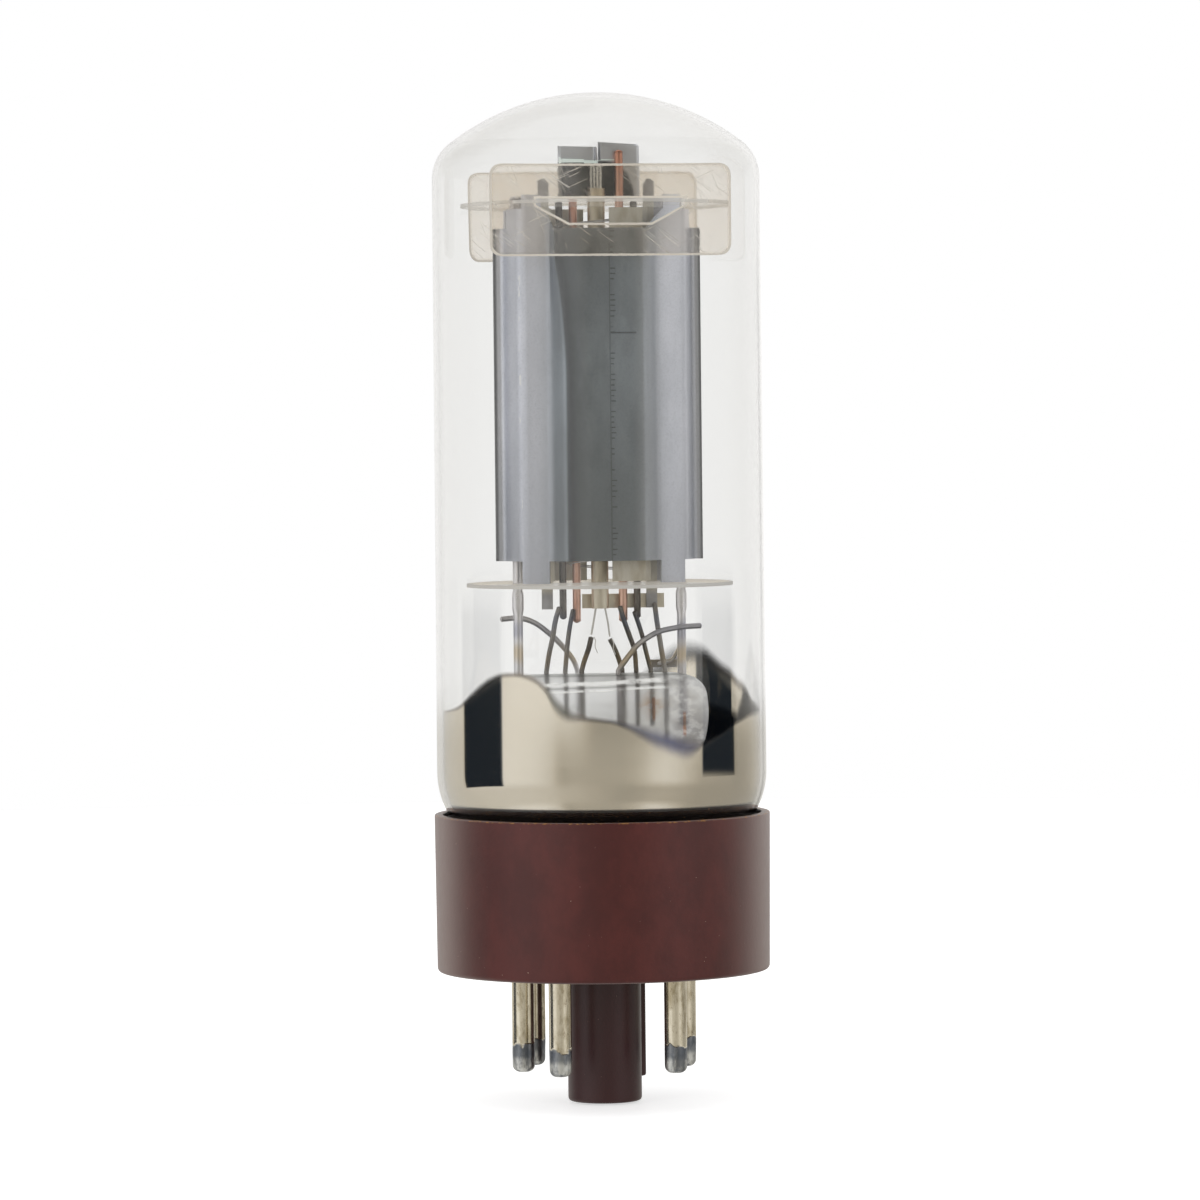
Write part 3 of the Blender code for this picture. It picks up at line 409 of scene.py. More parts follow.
# %% [markdown]
# The contact pins are nickel-plated brass tube. Their tips were dipped in solder after the wires were
# drawn through, so a duller grey coat climbs each pin to an uneven height.

# %% Contact pins
SOLDER_LEVEL = 6.1


def pin_finish():
    f = Finish("pin_metal", "pin_metal", Metallic=1.0)
    spot, _, _, z = f.place()
    edge = SOLDER_LEVEL + 2.2 * (f.noise(spot, 1.7, 2.0) - 0.5)
    solder = z.below(edge - 0.12, edge + 0.12)
    smear = f.noise(spot, 0.9, 4.0, 0.65, (1.0, 1.0, 0.35))
    stain = f.noise(spot, 0.5, 4.0, 0.7, (1.0, 1.0, 0.5)).above(0.6, 0.72)
    plate = f.layers((232, 224, 204), (smear.above(0.38, 0.72), (180, 168, 140)),
                     (stain * 0.7, (122, 100, 74)))
    lead = f.layers((128, 131, 135), (smear.above(0.4, 0.62), (222, 223, 220)),
                    (z.above(4.4, 5.2) * 0.75, (98, 104, 114)))
    return f.feed(Base_Color=f.mix(solder, plate, lead), Roughness=0.13 + 0.12 * smear + 0.2 * solder,
                  Normal=f.bump(solder * (0.6 + f.noise(spot, 0.7, 2.0)), 0.06))


PIN_METAL = pin_finish()

# %% [markdown]
# Basing cement is a dark baked paste with pale crumbs where it was wiped off. Bulb and stem are clear
# glass with real thickness: light bends at both walls, so the sides of the bulb darken by themselves.
# The bulb has only a little dust. The stem was pinched hot. A second, pale shader with a painted glow
# lies over it by a share: painted highlights along the rolled lip, and painted light in the right end and
# on the creased back. Painted dark lines of shade run between the lip's highlights and along the top
# edge. Heat left brown tints there, and the right end is darker low down.

# %% Cement and glass
def cement_finish():
    f = Finish("cement", "cement", Specular_IOR_Level=0.3)
    spot, _, _, _ = f.place()
    lump = f.noise(spot, 0.8, 5.0, 0.7)
    crumb = f.noise(spot, 0.3, 3.0, 0.6).above(0.66, 0.74)
    return f.feed(Base_Color=f.layers((22, 17, 15), (lump, (46, 35, 30)), (crumb, (150, 122, 78))),
                  Roughness=0.55 + 0.35 * lump, Normal=f.bump(lump + crumb, 0.12))


def glass_finish():
    f = Finish("bulb_glass", "glass", Transmission_Weight=1.0, IOR=1.5, Base_Color=(0.928, 0.928, 0.921, 1.0))
    spot, _, _, _ = f.place()
    dust = f.noise(spot, 0.16, 2.0, 0.5).above(0.78, 0.84) * f.noise(spot, 9.0, 2.0).above(0.45, 0.6)
    return f.feed(Roughness=0.35 * dust)


def stem_finish():
    f = Finish("stem_glass", "glass", Transmission_Weight=1.0, IOR=1.5)
    spot, x, y, z = f.place()
    pinched, clear_end, right_end = z.above(36.0, 38.5), x.below(6.0, 7.5), x.above(6.6, 8.2)
    wave = f.noise(spot, 4.5, 2.0, 0.5, (0.55, 0.55, 1.5))
    swirl = f.noise(spot, 1.3, 4.0, 0.7, (0.8, 0.8, 1.4))
    level = z + 0.6 * (wave - 0.5) - 0.02 * x
    # painted highlight: two pale bands along the rolled lip
    lip_highlight = (level.at(43.95, 0.1, 0.3) + level.at(43.15, 0.03, 0.16)) * swirl.above(0.36, 0.54) * clear_end
    # painted shade: dark lines between the lip's highlights and along the top edge
    dark_line = level.at(43.5, 0.04, 0.14) * clear_end * 0.7 + z.at(44.72, 0.05, 0.14) * 0.6
    wrinkle = f.noise(spot, 1.0, 5.0, 0.75, (0.5, 0.5, 1.7)).above(0.5, 0.62)
    # painted light: the pale, glowing share in the right end and on the creased back
    cloud = x.above(6.0, 8.5) * 0.5 * swirl.above(0.46, 0.6) + y.above(-0.3, 0.3) * (0.35 + 0.5 * wrinkle)
    cloud = cloud * (1 - 0.45 * right_end)
    brown = (abs(x - 5.3) + abs(z - 41.6)).below(0.6, 2.4) * swirl.above(0.35, 0.6) * 0.7
    lines = x.at(5.35, 0.1, 0.25) * z.below(42.2, 42.6) * z.above(39.6, 40.2)
    lines = lines + x.at(8.6, 0.1, 0.25) * z.below(40.6, 41.0) * z.above(38.0, 38.6)
    tint = f.layers((0.95, 0.955, 0.965, 1.0), (right_end * z.below(39.5, 42.5) * 0.7, (150, 148, 156)),
                    (brown, (206, 164, 118)), (lines, (196, 110, 70)), (dark_line, (120, 118, 114)))
    f.feed(Base_Color=tint, Normal=f.bump(pinched * wave, 0.28))
    pale = pinched * (1 - dark_line) * (1 - brown) * (0.8 * lip_highlight + cloud).math("MINIMUM", 0.85)
    return f.lay_over(shade(242, 242, 239), 0.75, pale)


CEMENT = cement_finish()
BULB_GLASS = glass_finish()
STEM_GLASS = stem_finish()

# %% [markdown]
# The getter is a metal flashed on to the inside of the lower bulb, where it makes a mirror. Its edge
# follows how the vapour spread: high behind the getter, low in the middle, and so thin at the very edge
# that it turns brown and violet. The height of the edge, the width of its fade and its violet cast are
# curves over the angle round the bulb. They share one colour ramp, as its red, green and blue. Below the
# mirror the same layer is the dark baked paste that shows through the glass at the rim.

# %% Getter mirror
# degrees round from the front, height of the edge, width over which it fades, and how violet it is
MIRROR_EDGE = [
    (-180, 39.0, 1.5, 0.0), (-120, 39.8, 0.8, 0.0), (-86, 41.0, 0.3, 0.0), (-67, 41.5, 0.3, 0.0),
    (-60, 41.8, 0.5, 0.0), (-54, 42.8, 0.8, 0.0), (-48, 44.0, 0.9, 0.0), (-42, 45.0, 0.9, 0.0),
    (-36, 45.5, 0.6, 0.0), (-29, 45.5, 0.6, 0.0), (-24, 45.1, 0.8, 0.0), (-20, 44.3, 1.0, 0.0),
    (-17, 42.9, 2.2, 0.0), (-13, 41.6, 1.8, 0.1), (-6, 41.0, 0.6, 0.1), (4, 40.7, 0.5, 0.2),
    (11, 40.1, 1.0, 0.8), (18, 39.2, 2.0, 1.0), (26, 38.4, 2.3, 1.0), (33, 37.7, 2.0, 1.0),
    (38, 38.2, 0.6, 0.0), (46, 38.9, 0.4, 0.0), (54, 40.0, 0.4, 0.0), (66, 40.9, 0.5, 0.0),
    (104, 41.2, 1.0, 0.0), (119, 44.2, 1.4, 0.0), (128, 44.8, 1.6, 0.0), (136, 46.6, 1.6, 0.0),
    (148, 47.0, 3.0, 0.0), (160, 44.6, 3.0, 0.0), (170, 40.8, 2.4, 0.0), (179.9, 39.0, 1.5, 0.0)]
EDGE_LOW, EDGE_SPAN, WIDEST = 36.0, 13.0, 3.0
PASTE_LEVEL = 31.5


def mirror_finish():
    f = Finish("getter_mirror", "glass")
    spot, x, y, z = f.place()
    turn = f.round_share(x, y)
    ramp = f.raw("ValToRGB", {0: turn}, stops=[
        (place / 360.0 + 0.5, ((height - EDGE_LOW) / EDGE_SPAN, width / WIDEST, violet, 1.0))
        for place, height, width, violet in MIRROR_EDGE])
    ramp.color_ramp.interpolation = "B_SPLINE"
    height, width, violet = f.split("Color", Field(f, ramp.outputs[0]))
    streak = f.noise(spot, 1.6, 4.0, 0.6, (1.0, 1.0, 0.5))
    depth = (height * EDGE_SPAN + EDGE_LOW - z) / (width * WIDEST) + 0.25 * (streak - 0.5)
    aside = turn - 0.5
    thin = f.layers((150, 141, 128), (violet, (78, 84, 134)),
                    # painted shadow: a narrow dark band in the thin edge, left of the front
                    (abs(aside + 15.0 / 360.0).below(0.006, 0.018), (104, 101, 86)),
                    (depth.below(-0.9, 0.1) * violet, (150, 140, 146)),
                    # painted shade: the thin edge all round the back is dark
                    (abs(aside).above(0.34, 0.4), (64, 62, 60)))
    silver = f.mix(f.noise(spot, 9.0, 4.0), (226, 217, 200), (236, 229, 214))
    dark = z.below(PASTE_LEVEL, PASTE_LEVEL + 0.25)
    paste = f.mix(f.noise(spot, 0.35, 2.0).above(0.68, 0.72), (20, 15, 13), (110, 78, 46))
    pinhole = f.noise(spot, 0.42, 1.0, 0.4).above(0.835, 0.845)
    shown = depth.above(-0.6, 0.6) * (1 - 0.3 * violet * depth.below(0.2, 1.0)) * (1 - pinhole)
    return f.feed(Base_Color=f.layers(thin, (depth.above(0.0, 0.8), silver), (dark, paste)),
                  Metallic=1 - dark, Roughness=0.04 + 0.03 * depth.below(0.2, 1.6) + 0.6 * dark,
                  Alpha=shown.math("MAXIMUM", dark))


MIRROR = mirror_finish()

# %% [markdown]
# Mica is split from a natural sheet: clear with a pinkish cast, and white wherever its edge was punched
# and frays. The two discs are seen nearly edge on, so a plain pale sheet with a low alpha will do, more
# solid towards its rim. The whole sheet has a faint painted glow.

# %% Mica discs
def disc_finish(name, node, body_alpha, rim_alpha, tone):
    radius = box(node)[1][0]
    # painted glow: a little emission keeps the mica pale
    f = Finish(name, Specular_IOR_Level=0.0, Emission_Color=shade(244, 240, 232), Emission_Strength=0.3)
    spot, x, y, _ = f.place()
    out = (x * x + y * y).math("SQRT") + 0.35 * f.noise(spot, 0.5, 3.0)
    edge = out.above(radius - 0.3, radius + 0.05) * rim_alpha
    haze = f.noise(spot, 1.2, 5.0, 0.7)
    body = f.layers(tone, (haze.above(0.35, 0.65), (226, 218, 206)), (edge, (244, 240, 232)))
    return f.feed(Base_Color=body, Roughness=0.25 + 0.4 * haze, Normal=f.bump(haze, 0.03),
                  Alpha=(body_alpha * (0.6 + 0.8 * haze) + edge).math("MINIMUM", 1.0))


MICA_DISC_LOW = disc_finish("mica_disc_low", "bottom_mica", 0.5, 0.9, (200, 192, 180))
MICA_DISC_HIGH = disc_finish("mica_disc_high", "top_mica", 0.12, 0.5, (214, 206, 194))

# %% [markdown]
# The upright plates are seen face on, so they really let light through: a transmissive shader with a
# pinkish beige tint. A second, rough white shader takes over where the sheet was cut, along the outline
# and round the window. It has a painted glow, which also lies faintly on the scratches and the haze.
# Distances to both outlines are worked out from Object coordinates. Scratches are noise pulled out 40
# times along a turned direction.

# %% Mica plates
(_, _, plate_low), (PLATE_HALF, _, plate_high) = box("front_spacer")
PLATE_MIDDLE, PLATE_RISE = 0.5 * (plate_low + plate_high), 0.5 * (plate_high - plate_low)
PLATE_CORNER = 1.35
WINDOW_FOOT, WINDOW_SHOULDER, WINDOW_HEAD = HIGH_MICA - 2.0, HIGH_MICA - 0.15, CAGE_TOP + 0.15
WINDOW_FOOT_HALF, WINDOW_HALF = 4.3, 7.7


def scratch(f, spot, degrees, size, share):
    """Long thin streaks along a direction turned by some degrees in the plane of the plate."""
    line = f.node("Mapping", {"Vector": spot, "Rotation": (0.0, math.radians(degrees), 0.0),
                              "Scale": (40.0, 1.0, 1.0)}, vector_type="TEXTURE")
    return f.noise(line, size, 1.0, 0.4).above(share, share + 0.03)


def plate_finish():
    f = Finish("mica_plate", "mica", Transmission_Weight=1.0, IOR=1.5)
    spot, x, _, z = f.place()
    beyond_x = (abs(x) - (PLATE_HALF - PLATE_CORNER)).math("MAXIMUM", 0.0)
    beyond_z = (abs(z - PLATE_MIDDLE) - (PLATE_RISE - PLATE_CORNER)).math("MAXIMUM", 0.0)
    inside = PLATE_CORNER - (beyond_x * beyond_x + beyond_z * beyond_z).math("SQRT")
    slope = (WINDOW_SHOULDER - WINDOW_FOOT) / (WINDOW_HALF - WINDOW_FOOT_HALF)
    slant = ((abs(x) - WINDOW_FOOT_HALF) * slope + WINDOW_FOOT - z) / math.hypot(1.0, slope)
    outside = (WINDOW_FOOT - z).math("MAXIMUM", slant).math("MAXIMUM", z - WINDOW_HEAD)
    outside = outside.math("MAXIMUM", abs(x) - WINDOW_HALF)
    ragged = 0.1 * (f.noise(spot, 0.6, 3.0) - 0.5)
    rim = (inside + ragged).below(0.15, 0.25).math("MAXIMUM", (outside + ragged).below(0.16, 0.28))
    lines = scratch(f, spot, 38.0, 0.1, 0.71) + scratch(f, spot, -24.0, 0.12, 0.73)
    lines = (lines + scratch(f, spot, 68.0, 0.12, 0.74)) * f.noise(spot, 3.0, 2.0).above(0.4, 0.55)
    haze = f.noise(spot, 3.0, 5.0, 0.65)
    tint = f.layers((0.87, 0.815, 0.745, 1.0), (haze.above(0.3, 0.7), (0.9, 0.86, 0.80, 1.0)),
                    ((inside + ragged).below(0.2, 0.5) * 0.4, (0.66, 0.58, 0.48, 1.0)))
    f.feed(Base_Color=tint, Roughness=0.03 + 0.1 * haze, Normal=f.bump(haze + lines, 0.015))
    # painted glow: the pale shader on the cut rim, the scratches and the haze gives off light
    return f.lay_over(shade(240, 233, 221), 0.35,
                      (rim * 0.85 + lines * 0.45 + 0.03 * haze.above(0.3, 0.7)).math("MINIMUM", 1.0))


MICA_PLATE = plate_finish()

# %% [markdown]
# The metals inside differ by how they were treated. Support rods and most leads are nickel, discoloured
# by the heat of welding; the control grid's rods are copper, to carry heat up to the radiators.

# %% Drawn metals
def metal_finish(name, slot, light, dark, rough, heat=()):
    """Smears along the length, and heat tints at some heights in millimetres."""
    f = Finish(name, slot, Metallic=1.0)
    spot, _, _, z = f.place()
    smear = f.noise(spot, 2.0, 4.0, 0.6, (1.0, 1.0, 0.25))
    fine = f.noise(spot, 0.24, 3.0, 0.6, (1.0, 1.0, 0.25))
    bent = z + 2.0 * (smear - 0.5)
    body = f.layers(light, (smear.above(0.35, 0.7), dark),
                    *[(bent.at(height, 0.2, 1.4) * 0.6, tint) for height, tint in heat])
    return f.feed(Base_Color=body, Roughness=rough + 0.18 * (smear - 0.4) + 0.08 * fine,
                  Normal=f.bump(fine, 0.01))


NICKEL = metal_finish("nickel", "nickel", (234, 233, 236), (186, 182, 182), 0.26,
                      [(46.9, (212, 188, 140)), (49.4, (170, 174, 196))])
DARK_NICKEL = metal_finish("dark_nickel", "dark_nickel", (156, 152, 146), (72, 64, 56), 0.34,
                           [(46.5, (134, 114, 74)), (50.4, (92, 102, 124))])
COPPER = metal_finish("copper", "copper", (242, 204, 186), (198, 140, 116), 0.24)
CATHODE_METAL = metal_finish("cathode_metal", "nickel", (238, 231, 214), (206, 194, 170), 0.35)

# %% [markdown]
# The anode is carbonised sheet, blue-grey and satin, darker on its faces than on its wings. The front
# face has a seam with short uneven ticks beside it, each one drawn by white noise on the number of its
# step, and a painted shadow beside the fold that leans outwards at the top. Painted shade also darkens
# the left wing's slope and the right wing's outer strip, a painted reflection lightens the face's right
# slope, and a painted highlight runs in dashes along the left channel's edge. Wings and face grow darker
# towards the bottom.

# %% Anode
SEAM, TICK_STEP = 0.36, 0.55
# where the front half's left fold starts to lean, over how much height, and how far
FLARE_FOOT, FLARE_RISE, FLARE_LEAN = 75.0, 13.0, 1.1


def anode_finish():
    f = Finish("anode", "anode", Metallic=1.0)
    spot, x, y, z = f.place()
    cloud = f.noise(spot, 5.0, 5.0, 0.65, (1.0, 1.0, 0.4))
    fine = f.noise(spot, 0.2, 4.0, 0.65)
    wing = f.layers((230, 233, 244), (cloud.above(0.3, 0.75), (212, 216, 227)),
                    # painted shade on the left wing's slope, then on the right wing's outer strip
                    (x.above(-8.2, -7.8) * x.below(-4.0, -3.5) * 0.6, (190, 192, 200)),
                    (x.above(9.5, 10.1) * 0.7, (168, 170, 176)), (z.below(56.0, 72.0) * 0.6, (176, 180, 190)),
                    (abs(x).above(10.5, 10.8), (104, 106, 110)))
    swing = ((z - FLARE_FOOT) / FLARE_RISE).math("MAXIMUM", 0.0).math("MINIMUM", 1.0)
    across = x + FLARE_LEAN * swing * swing
    fold_shadow = across.above(-4.4, -4.1) * across.below(-4.1, -1.8) * y.below(-4.0, -3.9)
    face = f.layers((160, 169, 178), (cloud.above(0.35, 0.7), (140, 148, 155)),
                    # painted reflection lightening the face's right slope, then the painted fold shadow
                    (z.below(60.0, 78.0) * 0.7, (128, 134, 138)), (x.above(2.4, 4.6) * 0.6, (196, 200, 208)),
                    (fold_shadow * 0.8, (62, 66, 70)),
                    (x.below(0.6, 1.6) * z.above(78.0, 86.0) * 0.3, (92, 98, 102)))
    step = z / TICK_STEP
    odds = f.node("TexWhiteNoise", {"W": step.math("FLOOR")}, noise_dimensions="1D")
    reach = SEAM + 0.2 + 0.4 * odds
    tick = step.math("FRACT").at(0.5, 0.08, 0.16) * x.above(SEAM - 0.02, SEAM + 0.02)
    tick = tick * (x - reach).below(-0.05, 0.05) * odds.above(0.2, 0.25)
    long_tick = z.at(80.5, 0.06, 0.12) * x.above(SEAM, SEAM + 0.05) * x.below(3.0, 3.2)
    dark_line = x.at(SEAM - 0.06, 0.02, 0.1)
    marks = (tick * 0.45).math("MAXIMUM", 0.5 * long_tick).math("MAXIMUM", 0.3 * dark_line) * y.below(-6.3, -6.2)
    # painted highlight: dashes along the left channel's edge
    channel_highlight = f.noise(spot, 0.5, 2.0, 0.5, (1.0, 1.0, 0.3)).above(0.6, 0.66) * x.at(-8.6, 0.06, 0.12)
    body = f.layers(wing, (abs(y).above(3.6, 5.0), face), (fine.above(0.45, 0.7) * 0.14, (92, 97, 104)),
                    (marks, (52, 54, 58)), (channel_highlight, (236, 238, 240)))
    return f.feed(Base_Color=body, Roughness=0.34 + 0.12 * (cloud - 0.4) + 0.08 * fine,
                  Normal=f.bump(fine - marks, 0.012))


ANODE = anode_finish()

# %% [markdown]
# The radiators are grey sheet with painted shade: black where they lie in shade, below a height on the
# left one and inside an ellipse on the right one. A painted highlight with a glow runs along the cut edge.
# The beam plates are cream nickel, grey on the ears that stand above the top mica. The heater's wire has
# a chalky white coat with a faint painted glow.

# %% Sheet metals and oxide
def radiator_finish():
    f = Finish("radiator_sheet", "radiator", Emission_Strength=1.0)
    spot, x, y, z = f.place()
    smear = f.noise(spot, 2.0, 5.0, 0.65)
    across, up = (x - 0.9) / 3.3, (z - 94.6) / 4.2
    inside = (across * across + up * up).below(0.85, 1.1)
    # painted shade: black where the sheet lies in shade
    painted_shade = f.mix(x.above(0.5, 0.6), z.below(98.6, 98.75), inside)
    # painted highlight with a glow along the cut edge
    cut = z.above(98.48, 98.54) * y.below(1.2, 1.3) * x.below(0.5, 0.6)
    cut = cut.math("MAXIMUM", z.at(98.9, 0.02, 0.08) * x.above(0.6, 0.7) * x.below(2.0, 2.5))
    tone = f.layers((212, 214, 219), (painted_shade, (40, 43, 44)), (smear.above(0.5, 0.75) * 0.15, (122, 118, 110)),
                    (cut, (232, 240, 234)))
    return f.feed(Base_Color=tone, Metallic=1 - cut, Roughness=0.28 + 0.2 * smear,
                  Emission_Color=f.mix(cut, (0, 0, 0), (150, 160, 154)), Normal=f.bump(smear, 0.01))


def beam_plate_finish():
    f = Finish("beam_plate_metal", Metallic=0.5)
    spot, _, _, z = f.place()
    smear = f.noise(spot, 1.6, 4.0, 0.6, (1.0, 1.0, 0.4))
    worn = smear.above(0.35, 0.7)
    body = f.mix(z.above(94.0, 95.0) + z.below(53.0, 54.0), f.mix(worn, (246, 242, 230), (218, 210, 190)),
                 f.mix(worn, (204, 204, 208), (168, 166, 166)))
    return f.feed(Base_Color=body, Roughness=0.3 + 0.15 * smear, Normal=f.bump(smear, 0.01))


def oxide_finish():
    # painted glow: a little emission keeps the coat white
    f = Finish("white_oxide", "white_oxide", Emission_Color=shade(236, 234, 226), Emission_Strength=0.25)
    spot, _, _, _ = f.place()
    chalk = f.noise(spot, 0.2, 3.0)
    return f.feed(Base_Color=f.mix(chalk, (236, 234, 226), (214, 210, 198)), Roughness=0.75 + 0.2 * chalk,
                  Normal=f.bump(chalk, 0.03))


RADIATOR_SHEET = radiator_finish()
BEAM_METAL = beam_plate_finish()
WHITE_OXIDE = oxide_finish()
print("finishes:", len(bpy.data.materials))

# %% [markdown]
# ## The moulded base
#
# Shell, floor, key post and key are one moulding. All but the key is turned, so one profile carried
# round the axis makes it, with a small curve at each corner so that edges catch light. The key is an
# outline carried down the post. A boolean could join them, but two closed shells that overlap look the
# same and stay cleaner.

# %% Base and key
BASE_INNER = box("base")[1][0] - 0.9
KEY_ANGLE = math.radians(27.0)
base_corners = [(0.0, 3.0), (2.75, 3.0), (2.75, 15.8), (16.7, 15.8), (16.7, 30.3), (17.6, 30.3),
                (17.45, 13.8), (3.875, 13.8), (3.875, 0.0), (0.0, 0.0)]
base_profile = rounded(base_corners, [0, 0.3, 0.3, 0.4, 0.12, 0.16, 0.5, 0.25, 0.45, 0], 8)


def key_grid():
    """The rounded outline of the key, one full height up and closed to its middle at both ends."""
    outline = rounded([(3.0, -0.95), (4.93, -0.95), (4.93, 0.95), (3.0, 0.95)], 0.6, 8, closed=True)
    c, s = math.cos(KEY_ANGLE), math.sin(KEY_ANGLE)
    outline = outline @ np.array([[c, s], [-s, c]])
    middle = outline.mean(axis=0)
    size = np.array([0.0, 0.8, 0.94, 1.0, 1.0, 0.0])[:, None, None]
    level = np.array([2.3, 2.3, 2.36, 2.55, 14.8, 14.8])[:, None, None]
    plan = middle + size * (outline - middle)
    return np.concatenate([plan, np.broadcast_to(level, (*plan.shape[:2], 1))], axis=-1)


make_piece("moulded_base", [turned(base_profile, 144), key_grid()], PHENOLIC, "base", sharp=50.0)

# %% [markdown]
# ## Contact pins
#
# Six tubes stand at 45 degree steps from the key. The profile closes in a soft nose of solder, a little
# fatter on some pins than on others.

# %% Six pins
PIN_CIRCLE = 8.725
SOLDER_NOSES = {2: 0.03, 3: 0.0, 4: 0.04, 5: 0.02, 7: 0.035, 8: 0.01}


def pin_centre(number, radius=PIN_CIRCLE):
    angle = KEY_ANGLE + math.radians(45.0 * (number - 0.5))
    return np.array([radius * math.cos(angle), radius * math.sin(angle)])


for number, nose in SOLDER_NOSES.items():
    corners = [(0.0, 3.3), (0.72, 3.3), (1.13 + nose, 3.72), (1.15 + nose, 5.4), (1.18, 5.9), (1.18, 15.95),
               (1.63, 15.95), (1.63, 16.45), (0.83, 16.45), (0.83, 5.9), (0.0, 5.9)]
    profile = rounded(corners, [0, 0.3, 0.35, 0.3, 0.3, 0.05, 0.1, 0.1, 0.05, 0.2, 0])
    make_piece(f"contact_{number}", [turned(profile, 40, pin_centre(number))], PIN_METAL, f"pin_{number}")

# %% [markdown]
# ## The bulb
#
# The bulb is blown in a mould: a shallow dome, a tight shoulder, a straight side with a little taper and
# a wide turn down to the seal. Arcs that share their centres give the outer and inner walls, so the
# glass has the same thickness everywhere, and light bends in it as it does in the real wall. A very
# slight ripple runs down the inner wall, as drawn glass has.

# %% Glass bulb
SIDE_TOP, SIDE_LOW = 17.15, 17.28
DOME_RADIUS, SHOULDER_RADIUS, TURN_RADIUS = 25.1, 4.7, 9.0
GLASS = 0.52
DOME_LEVEL = BULB_TOP - DOME_RADIUS
shoulder_rise = math.sqrt((DOME_RADIUS - SHOULDER_RADIUS) ** 2 - (SIDE_TOP - SHOULDER_RADIUS) ** 2)
SHOULDER = np.array([SIDE_TOP - SHOULDER_RADIUS, DOME_LEVEL + shoulder_rise])
TANGENT = math.degrees(math.atan2(shoulder_rise, SHOULDER[0]))
TURN = np.array([SIDE_LOW - TURN_RADIUS, 34.72])


def bulb_wall(inset):
    """Dome, shoulder, side and turn, each an arc about its own centre, made smaller by the inset."""
    dome = arc((0.0, DOME_LEVEL), DOME_RADIUS - inset, 90.0, TANGENT, 40)
    shoulder = arc(SHOULDER, SHOULDER_RADIUS - inset, TANGENT, 0.0, 18)
    turn = arc(TURN, TURN_RADIUS - inset, 0.0, -60.0, 20)
    return np.concatenate([dome, shoulder[1:], np.linspace(shoulder[-1], turn[0], 30)[1:-1], turn])


def rippled(grid, depth):
    """The radius changed by a sum of three sine waves round the axis, faded out over the dome."""
    angle = np.arctan2(grid[..., 1], grid[..., 0])
    wave = np.sin(7 * angle + 0.6) + 0.7 * np.sin(13 * angle + 2.1) + 0.5 * np.sin(29 * angle)
    share = 1.0 + depth * wave / 17.0 * np.clip((SHOULDER[1] - grid[..., 2]) / 10.0, 0, 1)
    return np.concatenate([grid[..., :2] * share[..., None], grid[..., 2:]], axis=-1)


bulb_profile = np.concatenate([bulb_wall(0.0), bulb_wall(GLASS)[::-1]])
bulb_profile[[0, -1], 0] = 0.0
outer_wall, inner_wall = np.split(turned(bulb_profile, 180), 2)
make_piece("bulb", [np.concatenate([outer_wall, rippled(inner_wall, 0.006)])], BULB_GLASS, "glass_bulb",
           sharp=60.0, shadow=False)

# %% [markdown]
# The getter mirror lies on the inside of that wall, from the turn up to where it fades. It is a very
# thin closed band, a hair inside the glass, and its finish decides how much of it is seen.

# %% Getter mirror band
MIRROR_FOOT, MIRROR_TOP = 27.9, 50.0


def mirror_profile(inset):
    start = math.degrees(math.asin((TURN[1] - MIRROR_FOOT) / (TURN_RADIUS - inset)))
    turn = arc(TURN, TURN_RADIUS - inset, -start, 0.0, 16)
    return np.concatenate([turn, np.linspace(turn[-1], (SIDE_LOW - inset - 0.04, MIRROR_TOP), 12)[1:]])


mirror_front, mirror_back = mirror_profile(GLASS + 0.03), mirror_profile(GLASS + 0.04)
mirror_loop = np.concatenate([mirror_front, mirror_back[::-1], mirror_front[:1]])
make_piece("getter_mirror", [turned(mirror_loop, 180)], MIRROR, sharp=60.0)

# %% [markdown]
# ## Cement, stem and exhaust tube
#
# The stem is a flared tube whose top was pinched flat on the leads while soft. Its section goes from a
# circle to a flat shape with fat, round ends, so the outline is a power curve whose sizes and power
# follow smooth curves over the height.

# %% Cement ring
def cement_grid():
    """A turned ring whose top edge rises and falls by a few hundredths with the angle."""
    gap = 0.15
    inner = arc(TURN, TURN_RADIUS + gap, -52.0, -33.0, 8)
    outer = BASE_INNER - gap
    top = [[outer - 0.1, inner[-1, 1] + 0.05], [outer, 29.75], [outer, inner[0, 1]]]
    grid = turned(np.concatenate([inner, top, inner[:1]]), 144)
    angle = np.arctan2(grid[..., 1], grid[..., 0])
    share = np.clip((grid[..., 2] - 29.0) / 0.8, 0, 1)
    grid[..., 2] += share * 0.06 * (np.sin(5 * angle) + np.sin(11 * angle + 1) + np.sin(23 * angle))
    return grid


make_piece("basing_cement", [cement_grid()], CEMENT, "cement")

# %% Stem and press
# height, half width, half depth, power and swelling of the ends
OUTER_STEM = [(26.92, 11.53, 11.53, 2.0, 0.0), (29.03, 9.45, 9.45, 2.0, 0.0), (32.5, 7.6, 7.6, 2.0, 0.0),
              (34.9, 8.93, 6.4, 2.1, 0.0), (36.52, 10.4, 3.6, 2.2, 0.1), (38.2, 11.1, 2.5, 2.3, 0.3),
              (41.5, 11.4, 2.2, 2.3, 0.35), (43.3, 11.0, 2.1, 2.3, 0.3), (44.3, 10.0, 1.85, 2.3, 0.3),
              (44.75, 8.8, 1.4, 2.3, 0.2), (44.92, 7.6, 0.8, 2.3, 0.1)]
INNER_STEM = [(26.92, 10.58, 10.58, 2.0, 0.0), (29.03, 8.5, 8.5, 2.0, 0.0), (32.5, 6.65, 6.65, 2.0, 0.0),
              (33.95, 7.7, 5.1, 2.0, 0.0), (35.2, 8.9, 2.6, 2.2, 0.0), (35.6, 8.0, 1.2, 2.2, 0.0)]


